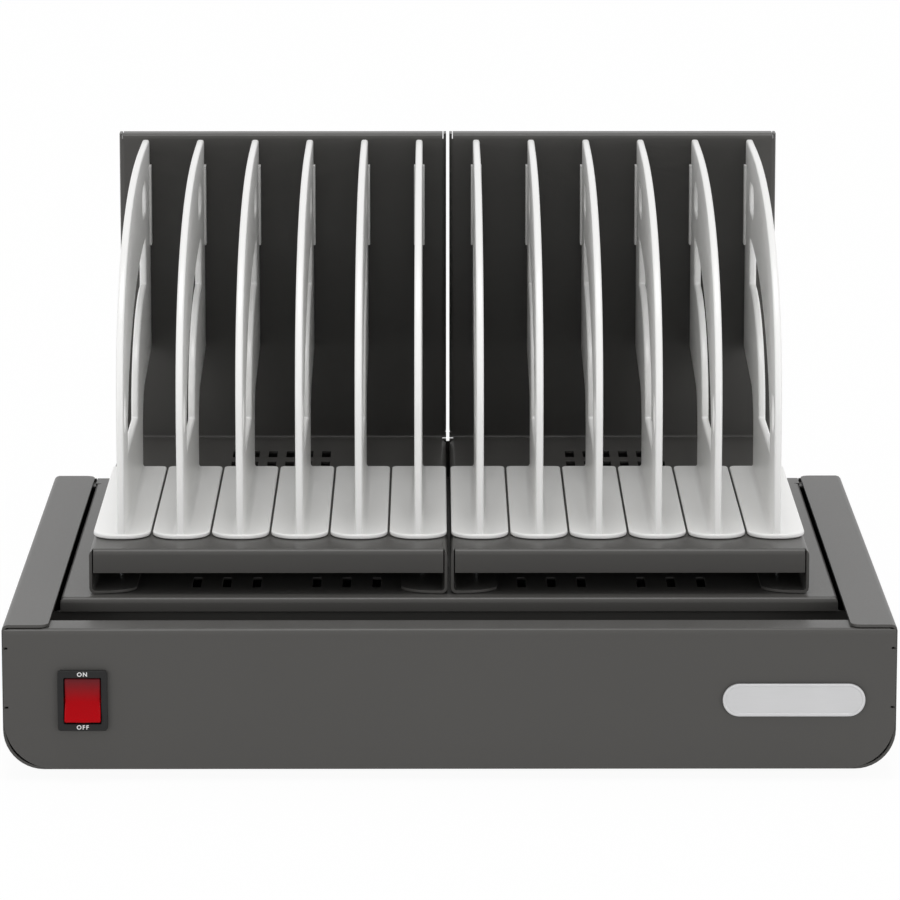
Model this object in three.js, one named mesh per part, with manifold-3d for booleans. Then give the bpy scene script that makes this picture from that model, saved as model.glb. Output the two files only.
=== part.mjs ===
// A charging tray for tablets: a folded steel base with a hinged deck, two folded steel racks on the deck,
// moulded dividers in the racks, and the mains inlet, switch, power supply and USB hubs inside the base.
// Millimetres, +Z up, the front faces -Y. While the pieces are made, y = 0 is the front panel's face,
// x = 0 is the middle of the tray and z = 0 is the surface that it stands on.

import * as THREE from 'three';
import { mergeVertices } from 'three/addons/utils/BufferGeometryUtils.js';
import Module from 'manifold-3d';

// Sheet steel and fits
const sheet = 1.5; // thickness of every folded sheet
const bend = 1.5; // inside radius of a fold
const fit = 0.3; // gap between pieces that sit on each other
const runGap = 0.35; // radial gap of a pin in its bore
const holeGap = 0.3; // gap round a screw, stem or peg in its hole

// Base
const baseWidth = 450;
const baseDepth = 384;
const baseHeight = 72.8; // underside of the base to the top face of the deck
const baseCorner = 20.5; // outside radius of the lower corners
const capWidth = 23.4; // top flange of each side wall
const capCorner = 5; // rounding of a cap's inner corners
const panelRim = 0.8; // how far the end panels stay inside the shell's outline
const panelCornerGain = 4; // how much rounder the front panel's lower corners are than the shell's
const frontFlange = 20.3;
const rearFlange = 15;
const tabDrop = 10.4; // deck level down to the top of a panel's side tab
const tabHeight = 29.5;
const tabDepth = 16;
const reliefDepth = 2.2; // notches at the ends of folds
const reliefHeight = 1;

// Rubber feet
const footPadHeight = 5;
const footPadRadius = 11;
const footPadEdge = 1; // bevel round its lower edge
const footStemRadius = 3;
const footHeadRadius = 4.4;
const footHeadHeight = 2;
const footInsetX = 42; // from the base's sides
const footInsetY = 45; // from the base's ends

// Deck and the rail under its front
const deckSetback = 72.1; // front panel's face to the deck's front edge
const deckSideGap = 1.2; // between the deck and a cap
const deckLip = 7.4;
const deckSlotWidth = 4.5;
const deckSlotLength = 24;
const deckSlotPitch = 15.6;
const deckSlotSetback = 25; // deck's front edge to the slots
const deckSlotShift = 8.8; // middle of a rack to the middle of its slots, towards the tray's middle
const deckSlotsEachSide = 3;
const deckOpeningWidth = 70;
const deckOpeningDepth = 40;
const upstandInset = 2; // rack's outer side to the end of the deck's rear upstand
const railSetback = 6; // deck's front edge to the rail's face
const railFlange = 16;
const lipClearance = 1; // between the lips at the deck's sides and what they pass
const leadRunInset = 32.5; // side of the base to the middle of the two leads along it
const leadNotchWidth = 22;
const leadNotchHeight = 13;

// Deck hinges
const hingeWidth = 50;
const hingeLeaf = 13;
const hingeLeafThickness = 1.5;
const hingeKnuckle = 3.5; // outside radius
const hingePinRadius = 1.5;
const knuckleGap = 0.4; // between neighbouring knuckles

// Racks
const rackGap = 1.8; // between the two racks
const rackSide = 14.6; // deck's side edge to the rack
const rackSetback = 8; // deck's front edge to the rack's front lip
const rackFloor = 23.6; // top face of the floor above the deck
const rackLip = 12.4;
const rackOverhang = 1.5; // base's rear to the front face of the back panel
const rackWallSetback = 6; // deck's rear edge to the end of the side walls
const rackFlange = 24; // width of the bottom flanges
const rackFlangeNose = 13; // length of their rounded front corner
const backHeight = 174.7; // rack floor to the top of the back panel
const backFlange = 12; // folds at the top and sides of the back panel
const flangeEndInset = 2; // back panel's side to the end of its top flange
const lipSlit = 0.6; // open corner between front lip and side wall
const floorSlotWidth = 5;
const floorSlotLength = 18;
const floorSlotPitch = 10;
const floorSlotColumns = 6;
const floorSlotRows = [50, 80]; // from the back panel to each row's middle

// Rack screws
const rackScrewRadius = 1.8;
const rackScrewHead = 3.8;
const rackScrewCrown = 2.7; // flat on top of the head
const rackScrewHeadHeight = 2.2;
const rackScrewEnd = 2; // how far a screw stands above the flange
const rackScrewInset = 13; // from the rack's side
const rackScrewEndInset = 50; // from the ends of the bottom flange

// Dividers
const dividersPerRack = 6;
const shoeGap = 1.1; // between the feet of neighbouring dividers
const shoeThickness = 2.5; // the flat foot of a divider
const shoeSetback = 23.6; // rack lip to the front of the shoe
const shoeNose = 13; // rounding of its front corners
const shoeHeel = 3; // rounding of its rear corners
const cablePassage = 98; // rear of the shoe to the back panel
const finThickness = 3.8;
const finSetback = 1; // shoe's front to the fin's front
const finTopDrop = 2.8; // back panel's top to the fin's top
const finFlatTop = 29; // straight stretch of the top edge, at the back
const finRise = 115.5; // height of the curved stretch of the front edge
const finPower = 2.5; // exponent of that superelliptic curve
const finSteps = 12;
const finTopCorner = 4;
const passageRise = 52.4; // rack floor to the underside of the fin, at the back panel
const passageFall = 11; // how much lower that underside is at the shoe
const passageCorner = 24;
const windowSill = 38.4; // rack floor to the window's bottom edge
const windowFront = 38; // fin's front to the window
const windowBack = 47; // window to the back panel
const windowTop = 49.5; // fin's top to the window
const windowFloor = 99; // length of the window's bottom edge
const windowEnd = 26; // height of the window's rear edge
const windowSteps = 7;
const ovalLength = 40;
const ovalHeight = 17;
const ovalBack = 59.5; // back panel to the oval's middle
const ovalDrop = 26.5; // fin's top to the oval's middle
const eyeRadius = 9.5; // round hole near the fin's front
const eyeBack = 16.5; // fin's front to the eye's middle
const eyeRise = 63.4; // rack floor to the eye's middle
const padThickness = 6;
const padDepth = 8;
const padHeight = 45;
const padDrop = 14.5; // fin's top to the pad's top
const pegWidth = 3;
const pegLength = 8;
const pegBarb = 0.8;
const pegTip = 2.4; // height of the barbed end
const pegInset = 40; // from the shoe's ends
const hookWidth = 3;
const hookHeight = 8;
const hookDrop = 4; // how far the hook reaches down behind the back panel
const hookThickness = 2;

// Power switch
const switchInset = 40.5; // side of the base to the middle of the switch
const controlDrop = 36.4; // deck level down to the middle of switch and badge
const bezelWidth = 25;
const bezelHeight = 31;
const bezelThickness = 2.5;
const switchBodyWidth = 22;
const switchBodyHeight = 28;
const switchBodyDepth = 26;
const rockerOpeningWidth = 18.9;
const rockerOpeningHeight = 23.6;
const rockerOpeningDepth = 9.5;
const rockerRadius = 11.5; // of the rocker's top and bottom faces about the pivot
const rockerBack = 5; // pivot to the rocker's rear face
const rockerValley = 1.4; // pivot to the middle of the front face
const rockerEdgeAngle = 20; // degrees that the front edges lie ahead of the pivot
const rockerTilt = 8; // degrees, with the top pressed in
const pivotRadius = 1.2;
const pivotLength = 1.4;
const terminalWidth = 6.3;
const terminalThickness = 0.8;
const terminalLength = 14;
const terminalSeat = 6; // length inside the switch body
const terminalPitch = 9;

// Badge
const badgeInset = 51.8; // side of the base to the middle of the badge
const badgeWidth = 71.8;
const badgeHeight = 16.8;
const badgeThickness = 1.8;
const badgeRim = 1.4;
const badgeRecess = 0.5;

// Mains inlet
const inletInset = 75; // side of the base to the middle of the inlet
const inletFlangeWidth = 50;
const inletFlangeHeight = 23;
const inletFlangeThickness = 3;
const inletFlangeCorner = 6;
const inletBodyWidth = 27.6;
const inletBodyHeight = 19.8;
const inletBodyDepth = 18;
const inletBodyCorner = 2.5;
const inletWall = 1.6;
const inletRearWall = 3;
const inletScrewPitch = 40;
const inletScrewRadius = 1.5;
const inletScrewHead = 2.8;
const inletScrewCrown = 2; // flat on top of the head
const inletScrewHeadHeight = 1.7;
const inletScrewLength = 8;
const bladeWidth = 4;
const bladeThickness = 2;
const bladePitch = 7;
const bladeRise = 3.2; // of the middle blade above the outer two
const bladeReach = 11; // inside the socket
const bladeTail = 8; // behind the body

// Power supply, hubs and leads
const supplyWidth = 216;
const supplyDepth = 60;
const supplyHeight = 42;
const supplyGap = 24; // rear panel's face to the supply
const supplyCorner = 3;
const hubWidth = 112;
const hubDepth = 58;
const hubHeight = 26;
const hubGap = 37; // hub to supply
const hubCorner = 4;
const portsPerHub = 5;
const portPitch = 20;
const portWidth = 13.2;
const portHeight = 5.8;
const portDepth = 10;
const tongueWidth = 11;
const tongueThickness = 1.8;
const tongueLength = 8;
const leadRadius = 1.6;
const leadSides = 8;
const leadRunHeight = 4.6; // base's bottom to the middle of the leads along its side
const leadRunSpread = 4.6; // middle of that run to each lead
const hubLeadInset = 38; // end of the supply to a hub's lead
const hubLeadEnd = 9; // straight stretch at the ends of a hub's lead

// Vent slots in the rear panel
const ventCount = 14;
const ventPitch = 9;
const ventWidth = 4;
const ventHeight = 24;
const ventOffset = 40; // from the tray's middle

// Places that follow from the sizes above
const deckZ = footPadHeight + baseHeight;
const bottomZ = footPadHeight + sheet;
const controlZ = deckZ - controlDrop;
const innerHalf = baseWidth / 2 - sheet - fit;
const switchX = switchInset - baseWidth / 2;
const inletX = inletInset - baseWidth / 2;
const deckSeat = deckZ - sheet - fit; // top of what the deck rests on
const deckRear = baseDepth;
const hingeY = deckRear + fit + hingeKnuckle;
const hingeZ = deckSeat + fit / 2;
const deckHalf = baseWidth / 2 - capWidth - deckSideGap;
const rackWidth = deckHalf - rackSide - rackGap / 2;
const rackX = (rackGap + rackWidth) / 2;
const rackFront = deckSetback + rackSetback;
const rackBack = baseDepth + rackOverhang;
const rackFloorZ = deckZ + rackFloor;
const rackTop = rackFloorZ + backHeight;
const rackWallRear = deckRear - rackWallSetback;
const shoeFront = rackFront + shoeSetback;
const shoeRear = rackBack - cablePassage;
const shoeBottom = rackFloorZ + fit;
const shoeTop = shoeBottom + shoeThickness;
const finFront = shoeFront + finSetback;
const finRear = rackBack - fit;
const finTop = rackTop - finTopDrop;
const padTop = finTop - padDrop;
const hookBottom = padTop - padHeight / 2;
const pegPlaces = [shoeFront + pegInset, shoeRear - pegInset];
const dividerPitch = (rackWidth - 2 * fit + shoeGap) / dividersPerRack;
const shoeWidth = dividerPitch - shoeGap;
const dividerPlaces = Array.from(
  { length: dividersPerRack },
  (_, i) => (i - (dividersPerRack - 1) / 2) * dividerPitch,
);
const rackScrewPlaces = [rackFront + rackScrewEndInset, rackWallRear - rackScrewEndInset];
const supplyRear = baseDepth - supplyGap;
const supplyFront = supplyRear - supplyDepth;
const supplyBottom = bottomZ + fit;
const hubRear = supplyFront - hubGap;
const hubFront = hubRear - hubDepth;
const openingMiddle = rackBack - (floorSlotRows[0] + floorSlotRows[1]) / 2;
const inletBodyFront = baseDepth - inletBodyDepth;
const terminalRear = switchBodyDepth - terminalSeat + terminalLength;

// Finishes
const darkSteel = { color: 0x565452, roughness: 0.5, metalness: 0.3 };
const plainSteel = { color: 0xb4b6b8, roughness: 0.35, metalness: 0.9 };
const brass = { color: 0xc9a75a, roughness: 0.35, metalness: 0.9 };
const whitePlastic = { color: 0xeeeeec, roughness: 0.25, metalness: 0 };
const blackPlastic = { color: 0x1b1b1c, roughness: 0.45, metalness: 0 };
const redPlastic = { color: 0xb00d17, roughness: 0.2, metalness: 0 };
const badgeGrey = { color: 0xbdbdbd, roughness: 0.35, metalness: 0.2 };
const blackRubber = { color: 0x161616, roughness: 0.9, metalness: 0 };
const brownLead = { color: 0x6a3b20, roughness: 0.6, metalness: 0 };
const blueLead = { color: 0x2c4fa0, roughness: 0.6, metalness: 0 };
const blackLead = { color: 0x1d1d1d, roughness: 0.6, metalness: 0 };

const wasm = await Module();
wasm.setup();

// Solids and booleans

function solid(geometry) {
  const bare = geometry.clone();
  bare.deleteAttribute('normal');
  bare.deleteAttribute('uv');
  const merged = mergeVertices(bare);
  const vertProperties = merged.getAttribute('position').array;
  const triVerts = new Uint32Array(merged.getIndex().array);
  return new wasm.Manifold(new wasm.Mesh({ numProp: 3, vertProperties, triVerts }));
}

function join(...geometries) {
  return geometries.map(solid).reduce((whole, piece) => whole.add(piece));
}

function cut(whole, geometries) {
  return geometries.reduce((rest, tool) => rest.subtract(solid(tool)), whole);
}

function geometryOf(shape) {
  const mesh = shape.getMesh();
  const geometry = new THREE.BufferGeometry();
  geometry.setAttribute('position', new THREE.BufferAttribute(mesh.vertProperties, 3));
  geometry.setIndex(new THREE.BufferAttribute(mesh.triVerts, 1));
  geometry.computeVertexNormals();
  return geometry;
}

// Outlines

const pointGap = 1e-3; // arcs that meet share one point

function arcSteps(radius) {
  return Math.ceil(Math.max(Math.sqrt(radius) + 1, radius / 2));
}

// Corners are [u, v] or [u, v, radius], and a corner with a radius becomes an arc.
function outline(corners) {
  const points = [];
  corners.forEach(([u, v, radius = 0], i) => {
    const corner = new THREE.Vector2(u, v);
    if (radius === 0) {
      points.push(corner);
      return;
    }
    const before = new THREE.Vector2(...corners.at(i - 1).slice(0, 2)).sub(corner);
    const after = new THREE.Vector2(...corners[(i + 1) % corners.length].slice(0, 2)).sub(corner);
    const half = before.angleTo(after) / 2;
    const room = Math.min(before.length(), after.length()) / 2;
    const reach = Math.min(radius / Math.tan(half), room);
    const size = reach * Math.tan(half);
    before.normalize();
    after.normalize();
    const middle = before.clone().add(after).normalize().multiplyScalar(size / Math.sin(half)).add(corner);
    const start = corner.clone().addScaledVector(before, reach).sub(middle).angle();
    const end = corner.clone().addScaledVector(after, reach).sub(middle).angle();
    const sweep = THREE.MathUtils.euclideanModulo(end - start + Math.PI, 2 * Math.PI) - Math.PI;
    const steps = arcSteps(size);
    for (let k = 0; k <= steps; k++) {
      const angle = start + (sweep * k) / steps;
      points.push(new THREE.Vector2(Math.cos(angle), Math.sin(angle)).multiplyScalar(size).add(middle));
    }
  });
  return points.filter((point, i) => point.distanceTo(points.at(i - 1)) > pointGap);
}

function rectangle(u, v, width, height, radius = 0) {
  const [a, b] = [width / 2, height / 2];
  const corners = [[u - a, v - b], [u + a, v - b], [u + a, v + b], [u - a, v + b]];
  return outline(corners.map((corner) => [...corner, radius]));
}

// The section of a folded sheet. Its middle line is [u, v] or, at a fold, [u, v, inside radius].
function folded(middle) {
  const left = [];
  const right = [];
  const points = middle.map(([u, v]) => new THREE.Vector2(u, v));
  middle.forEach(([, , radius = 0], i) => {
    const point = points[i];
    const back = i > 0 ? point.clone().sub(points[i - 1]).normalize() : null;
    const ahead = i < points.length - 1 ? points[i + 1].clone().sub(point).normalize() : null;
    const from = back ?? ahead;
    const to = ahead ?? back;
    const normal = new THREE.Vector2(-from.y - to.y, from.x + to.x);
    normal.multiplyScalar(sheet / 2 / (1 + from.dot(to)));
    const turn = from.cross(to);
    const leftRadius = radius && (turn > 0 ? radius : radius + sheet);
    const rightRadius = radius && (turn > 0 ? radius + sheet : radius);
    left.push([point.x + normal.x, point.y + normal.y, leftRadius]);
    right.unshift([point.x - normal.x, point.y - normal.y, rightRadius]);
  });
  return outline([...left, ...right]);
}

// What comes off the corner at (u, v) to round it. The signs point from the corner into the sheet.
function cornerWaste(u, v, signU, signV, radiusU, radiusV) {
  const clear = 1;
  const points = [[u - signU * clear, v - signV * clear], [u + signU * radiusU, v - signV * clear]];
  const steps = arcSteps(Math.max(radiusU, radiusV));
  for (let k = 0; k <= steps; k++) {
    const angle = (k / steps) * (Math.PI / 2);
    points.push([u + signU * radiusU * (1 - Math.sin(angle)), v + signV * radiusV * (1 - Math.cos(angle))]);
  }
  points.push([u - signU * clear, v + signV * radiusV]);
  return points.map((point) => new THREE.Vector2(...point));
}

// Prisms along the axes

function prism(points, depth, holes = []) {
  const shape = new THREE.Shape(THREE.ShapeUtils.isClockWise(points) ? points.toReversed() : points);
  shape.holes = holes.map((hole) => new THREE.Path(hole));
  return new THREE.ExtrudeGeometry(shape, { depth, bevelEnabled: false });
}

const unitX = new THREE.Vector3(1, 0, 0);
const unitY = new THREE.Vector3(0, 1, 0);
const unitZ = new THREE.Vector3(0, 0, 1);

// points are (y, z)
function alongX(points, start, end, holes = []) {
  const turn = new THREE.Matrix4().makeBasis(unitY, unitZ, unitX);
  return prism(points, end - start, holes).applyMatrix4(turn).translate(start, 0, 0);
}

// points are (x, z)
function alongY(points, start, end) {
  const turn = new THREE.Matrix4().makeBasis(unitX, unitZ, unitY.clone().negate());
  return prism(points, end - start).applyMatrix4(turn).translate(0, end, 0);
}

// points are (x, y)
function alongZ(points, start, end) {
  return prism(points, end - start).translate(0, 0, start);
}

function block(x0, x1, y0, y1, z0, z1) {
  const size = new THREE.BoxGeometry(Math.abs(x1 - x0), Math.abs(y1 - y0), Math.abs(z1 - z0));
  return size.translate((x0 + x1) / 2, (y0 + y1) / 2, (z0 + z1) / 2);
}

function rodX(start, end, y, z, radius, sides = 12) {
  const rod = new THREE.CylinderGeometry(radius, radius, end - start, sides);
  return rod.rotateZ(Math.PI / 2).translate((start + end) / 2, y, z);
}

function rodY(x, z, start, end, radius, sides = 8) {
  return new THREE.CylinderGeometry(radius, radius, end - start, sides).translate(x, (start + end) / 2, z);
}

function rodZ(x, y, start, end, radius, sides = 8) {
  const rod = new THREE.CylinderGeometry(radius, radius, end - start, sides);
  return rod.rotateX(Math.PI / 2).translate(x, y, (start + end) / 2);
}

// A turned piece about +Z, from its [radius, z] profile, which starts and ends on the axis.
function turned(profile, sides) {
  const points = profile.map(([radius, z]) => new THREE.Vector2(radius, z));
  return new THREE.LatheGeometry(points, sides).rotateX(Math.PI / 2);
}

// A round lead along a smooth curve through its points.
function lead(points) {
  const stops = points.map((point) => new THREE.Vector3(...point));
  const path = new THREE.CatmullRomCurve3(stops, false, 'centripetal');
  const section = new THREE.Shape();
  section.absarc(0, 0, leadRadius, 0, 2 * Math.PI);
  const steps = Math.max(6, Math.round(path.getLength() / (leadRadius * 7)));
  return new THREE.ExtrudeGeometry(section, { steps, extrudePath: path, curveSegments: leadSides / 2 });
}

// Base

function baseShell() {
  const side = baseWidth / 2 - sheet / 2;
  const capZ = deckZ + fit + sheet / 2;
  const capEdge = baseWidth / 2 - capWidth;
  const lowZ = footPadHeight + sheet / 2;
  const corner = baseCorner - sheet;
  const front = sheet + fit;
  const rear = baseDepth - sheet - fit;
  const section = folded([
    [-capEdge, capZ], [-side, capZ, bend], [-side, lowZ, corner],
    [side, lowZ, corner], [side, capZ, bend], [capEdge, capZ],
  ]);
  const tools = [];
  for (const sign of [-1, 1]) {
    for (const [end, inward] of [[front, 1], [rear, -1]]) {
      const waste = cornerWaste(sign * capEdge, end, sign, inward, capCorner, capCorner);
      tools.push(alongZ(waste, deckZ, deckZ + fit + 2 * sheet));
    }
  }
  for (const [x, y] of footPlaces()) {
    tools.push(rodZ(x, y, footPadHeight - sheet, bottomZ + sheet, footStemRadius + holeGap));
  }
  return cut(solid(alongY(section, front, rear)), tools);
}

// A panel that closes one end of the shell, seen as the front one.
function endPanel(flange, top, corner) {
  const half = baseWidth / 2 - panelRim;
  const low = footPadHeight + panelRim;
  const flangeZ = top - sheet / 2;
  const above = top + sheet;
  const section = folded([[sheet / 2, low], [sheet / 2, flangeZ, bend], [flange, flangeZ]]);
  const face = outline([[-half, low, corner], [half, low, corner], [half, above], [-half, above]]);
  let panel = solid(alongX(section, -half, half)).intersect(solid(alongY(face, -sheet, flange + sheet)));
  const tabTop = deckZ - tabDrop;
  const tabLow = tabTop - tabHeight;
  for (const sign of [-1, 1]) {
    const wall = sign * innerHalf;
    const outside = sign * (half + sheet);
    const notch = sign * (half - reliefDepth);
    panel = cut(panel, [
      block(wall - sign * bend, outside, sheet, flange + sheet, low, above),
      block(notch, outside, -sheet, 2 * sheet, tabTop, tabTop + reliefHeight),
      block(notch, outside, -sheet, 2 * sheet, tabLow - reliefHeight, tabLow),
    ]);
    panel = panel.add(solid(block(wall - sign * sheet, wall, sheet / 2, tabDepth, tabLow, tabTop)));
  }
  return panel;
}

function frontPanel() {
  const opening = rectangle(switchX, controlZ, switchBodyWidth + 2 * fit, switchBodyHeight + 2 * fit);
  const panel = endPanel(frontFlange, deckZ, baseCorner + panelCornerGain);
  return cut(panel, [alongY(opening, -sheet, 2 * sheet)]);
}

// The rear panel passes under the deck, with an ear beside it under each cap.
function rearPanel() {
  const earFoot = deckSeat - sheet - bend;
  let closed = endPanel(rearFlange, deckSeat, baseCorner - panelRim);
  for (const sign of [-1, 1]) {
    const inner = sign * (deckHalf + fit);
    const outer = sign * (baseWidth / 2 - panelRim);
    closed = closed.add(solid(block(inner, outer, 0, sheet, earFoot, deckZ)));
  }
  const turnedRound = geometryOf(closed).rotateZ(Math.PI).translate(0, baseDepth, 0);
  const from = baseDepth - 2 * sheet;
  const to = baseDepth + sheet;
  const wide = inletBodyWidth + 2 * fit;
  const tall = inletBodyHeight + 2 * fit;
  const opening = rectangle(inletX, controlZ, wide, tall, inletBodyCorner);
  const tools = [alongY(opening, from, to)];
  for (const x of inletScrewPlaces()) {
    tools.push(rodY(x, controlZ, from, to, inletScrewRadius + holeGap));
  }
  for (let i = 0; i < ventCount; i++) {
    const x = ventOffset + (i - (ventCount - 1) / 2) * ventPitch;
    tools.push(alongY(rectangle(x, controlZ, ventWidth, ventHeight), from, to));
  }
  return cut(solid(turnedRound), tools);
}

// A channel across the base that carries the front of the deck.
function deckRail() {
  const web = deckSetback + railSetback;
  const top = deckSeat;
  const low = bottomZ + fit;
  const corner = baseCorner - sheet - fit;
  const tip = web + railFlange;
  const section = folded([
    [tip, top - sheet / 2], [web + sheet / 2, top - sheet / 2, bend],
    [web + sheet / 2, low + sheet / 2, bend], [tip, low + sheet / 2],
  ]);
  const inside = outline([
    [-innerHalf, low, corner], [innerHalf, low, corner], [innerHalf, top + sheet], [-innerHalf, top + sheet],
  ]);
  const [from, to] = [web - sheet, tip + sheet];
  const rail = solid(alongX(section, -innerHalf, innerHalf)).intersect(solid(alongY(inside, from, to)));
  const notchX = leadRunInset - baseWidth / 2;
  const notchHalf = leadNotchWidth / 2;
  const between = deckHalf - sheet - bend - lipClearance;
  const underLip = deckZ - deckLip - lipClearance;
  return cut(rail, [
    block(notchX - notchHalf, notchX + notchHalf, from, to, low - sheet, low + leadNotchHeight),
    block(between, baseWidth / 2, from, to, underLip, deckZ),
    block(-between, -baseWidth / 2, from, to, underLip, deckZ),
  ]);
}

function footPlaces() {
  const x = baseWidth / 2 - footInsetX;
  const rear = baseDepth - footInsetY;
  return [[-x, footInsetY], [x, footInsetY], [-x, rear], [x, rear]];
}

// A pad under the base with a stem through it and a head that holds it inside.
function rubberFoot() {
  const pad = footPadHeight - fit;
  const neck = bottomZ + fit;
  const top = neck + footHeadHeight;
  const profile = [
    [0, 0], [footPadRadius - footPadEdge, 0], [footPadRadius, footPadEdge], [footPadRadius, pad],
    [footStemRadius, pad], [footStemRadius, neck], [footHeadRadius, neck], [footStemRadius, top], [0, top],
  ];
  return turned(profile, 14);
}

// Deck and its hinges

// A plate with a lip at its front and sides, and an upstand at its rear under the floors of the racks.
function deckPlate() {
  const flat = deckHalf - sheet - bend;
  const topMiddle = deckZ - sheet / 2;
  const lipZ = deckZ - deckLip;
  const front = [[deckSetback + sheet / 2, lipZ], [deckSetback + sheet / 2, topMiddle, bend]];
  const rear = deckRear - sheet / 2;
  const upstandTop = rackFloorZ - sheet - fit;
  const upstandHalf = rackX + rackWidth / 2 - upstandInset;
  const upstand = folded([...front, [rear, topMiddle, bend], [rear, upstandTop]]);
  const pieces = [alongX(upstand, -upstandHalf, upstandHalf)];
  const lipRear = baseDepth - rearFlange - lipClearance;
  for (const sign of [-1, 1]) {
    const edge = sign * (deckHalf - sheet / 2);
    const lip = folded([[edge, lipZ], [edge, topMiddle, bend], [sign * (flat - bend), topMiddle]]);
    pieces.push(
      alongY(lip, deckSetback + sheet + bend, lipRear),
      block(sign * (flat - bend), sign * deckHalf, lipRear + reliefHeight, deckRear, deckZ - sheet, deckZ),
    );
  }
  const foldEnd = upstandHalf + reliefHeight;
  const foldStart = deckRear - sheet - bend;
  const plain = folded([...front, [deckRear, topMiddle]]);
  const plate = cut(solid(alongX(plain, -flat, flat)), [
    block(-foldEnd, foldEnd, foldStart, deckRear + sheet, deckZ - 2 * sheet, deckZ + sheet),
  ]);
  const edgeRound = bend + sheet;
  const frontView = outline([
    [-deckHalf, lipZ], [deckHalf, lipZ], [deckHalf, deckZ, edgeRound], [-deckHalf, deckZ, edgeRound],
  ]);
  const frontEnds = alongY(frontView, deckSetback - sheet, deckSetback + edgeRound + fit);
  const frontLip = solid(alongX(plain, -deckHalf, deckHalf)).intersect(solid(frontEnds));
  const tools = [];
  const through = [deckZ - 2 * sheet, deckZ + sheet];
  for (const middle of [-rackX, rackX]) {
    const opening = rectangle(middle, openingMiddle, deckOpeningWidth, deckOpeningDepth, bend);
    tools.push(alongZ(opening, ...through));
    const slotY = deckSetback + deckSlotSetback + deckSlotLength / 2;
    for (let i = 1; i <= deckSlotsEachSide; i++) {
      for (const sign of [-1, 1]) {
        const x = middle - Math.sign(middle) * deckSlotShift + sign * i * deckSlotPitch;
        tools.push(alongZ(rectangle(x, slotY, deckSlotWidth, deckSlotLength), ...through));
      }
    }
  }
  for (const [x, y] of rackScrewAll()) {
    tools.push(rodZ(x, y, ...through, rackScrewRadius + holeGap));
  }
  return cut(plate.add(frontLip).add(join(...pieces)), tools);
}

// Knuckle lengths along the pin: the fixed leaf has the outer two, the moving leaf the middle one.
const knuckleEdge = hingeWidth / 6;

// The fixed leaf hangs down the rear panel and the moving leaf stands up the deck's upstand.
function hingeLeafSolid(sign, ownRuns, otherRuns) {
  const half = hingeWidth / 2;
  const face = hingeY - hingeKnuckle;
  const plate = block(-half, half, face, face + hingeLeafThickness, hingeZ, hingeZ + sign * hingeLeaf);
  const knuckles = ownRuns.map(([start, end]) => rodX(start, end, hingeY, hingeZ, hingeKnuckle));
  const clearances = otherRuns.map(
    ([start, end]) => rodX(start - knuckleGap, end + knuckleGap, hingeY, hingeZ, hingeKnuckle + knuckleGap),
  );
  const bore = rodX(-half - sheet, half + sheet, hingeY, hingeZ, hingePinRadius + runGap);
  return cut(cut(solid(plate), clearances).add(join(...knuckles)), [bore]);
}

const outerRuns = [[-hingeWidth / 2, -knuckleEdge], [knuckleEdge, hingeWidth / 2]];
const innerRuns = [[-knuckleEdge + knuckleGap, knuckleEdge - knuckleGap]];

// Racks

function rack() {
  const half = rackWidth / 2;
  const floor = rackFloorZ - sheet / 2;
  const lip = rackFront + sheet / 2;
  const back = rackBack + sheet / 2;
  const top = rackTop - sheet / 2;
  const low = deckZ + fit + sheet / 2;
  const lipZ = rackFloorZ - rackLip;
  const section = folded([
    [lip, lipZ], [lip, floor, bend], [back, floor, bend], [back, top, bend], [rackBack + backFlange, top],
  ]);
  const edgeRound = bend + sheet;
  const underFloor = rackFloorZ - 2 * sheet;
  const aboveFloor = rackFloorZ + sheet;
  const behind = rackBack + 2 * sheet;
  const flangeRear = rackBack + backFlange;
  const sideFoot = rackFloorZ + edgeRound;
  const foldZ = rackTop - edgeRound;
  const tools = [];
  const walls = [];
  for (const sign of [-1, 1]) {
    const outside = sign * (half + sheet);
    const wall = sign * (half - sheet / 2);
    const strip = sign * (half - 2 * edgeRound);
    const slit = sign * (half - sheet - lipSlit);
    const relief = sign * (half - reliefDepth);
    const flangeEnd = sign * (half - flangeEndInset);
    tools.push(
      block(strip, outside, rackFront + edgeRound, rackWallRear, underFloor, aboveFloor),
      block(slit, outside, rackFront - sheet, rackFront + 2 * edgeRound, lipZ - sheet, aboveFloor),
      block(relief, outside, rackBack - edgeRound, behind, underFloor, rackFloorZ),
      block(strip, outside, rackBack - sheet, behind, sideFoot, foldZ - edgeRound / 2),
      block(flangeEnd, outside, rackBack - sheet, flangeRear + sheet, foldZ - edgeRound, rackTop + sheet),
    );
    const sideSection = folded([
      [sign * (half - 3 * edgeRound), back], [wall, back, bend], [wall, flangeRear],
    ]);
    const besideTop = block(
      sign * (half - sheet), 0, rackBack - sheet, flangeRear + sheet, foldZ, rackTop + sheet,
    );
    walls.push(cut(solid(alongZ(sideSection, sideFoot, rackTop)), [besideTop]));
    const inner = sign * (half - rackFlange);
    const wallSection = folded([
      [inner, low], [wall, low, bend], [wall, floor, bend], [sign * (half - 3 * edgeRound), floor],
    ]);
    const nose = cornerWaste(inner, rackFront, sign, 1, rackFlange - edgeRound, rackFlangeNose);
    const lowerNose = alongZ(nose, deckZ - sheet, low + sheet);
    const besideLip = block(
      sign * (half - sheet), 0, rackFront - sheet, rackFront + edgeRound, low + 1.5 * sheet, aboveFloor,
    );
    walls.push(cut(solid(alongY(wallSection, rackFront, rackWallRear)), [lowerNose, besideLip]));
  }
  const main = cut(solid(alongX(section, -half, half)), tools);
  return cut(walls.reduce((whole, wall) => whole.add(wall), main), rackHoles());
}

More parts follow.
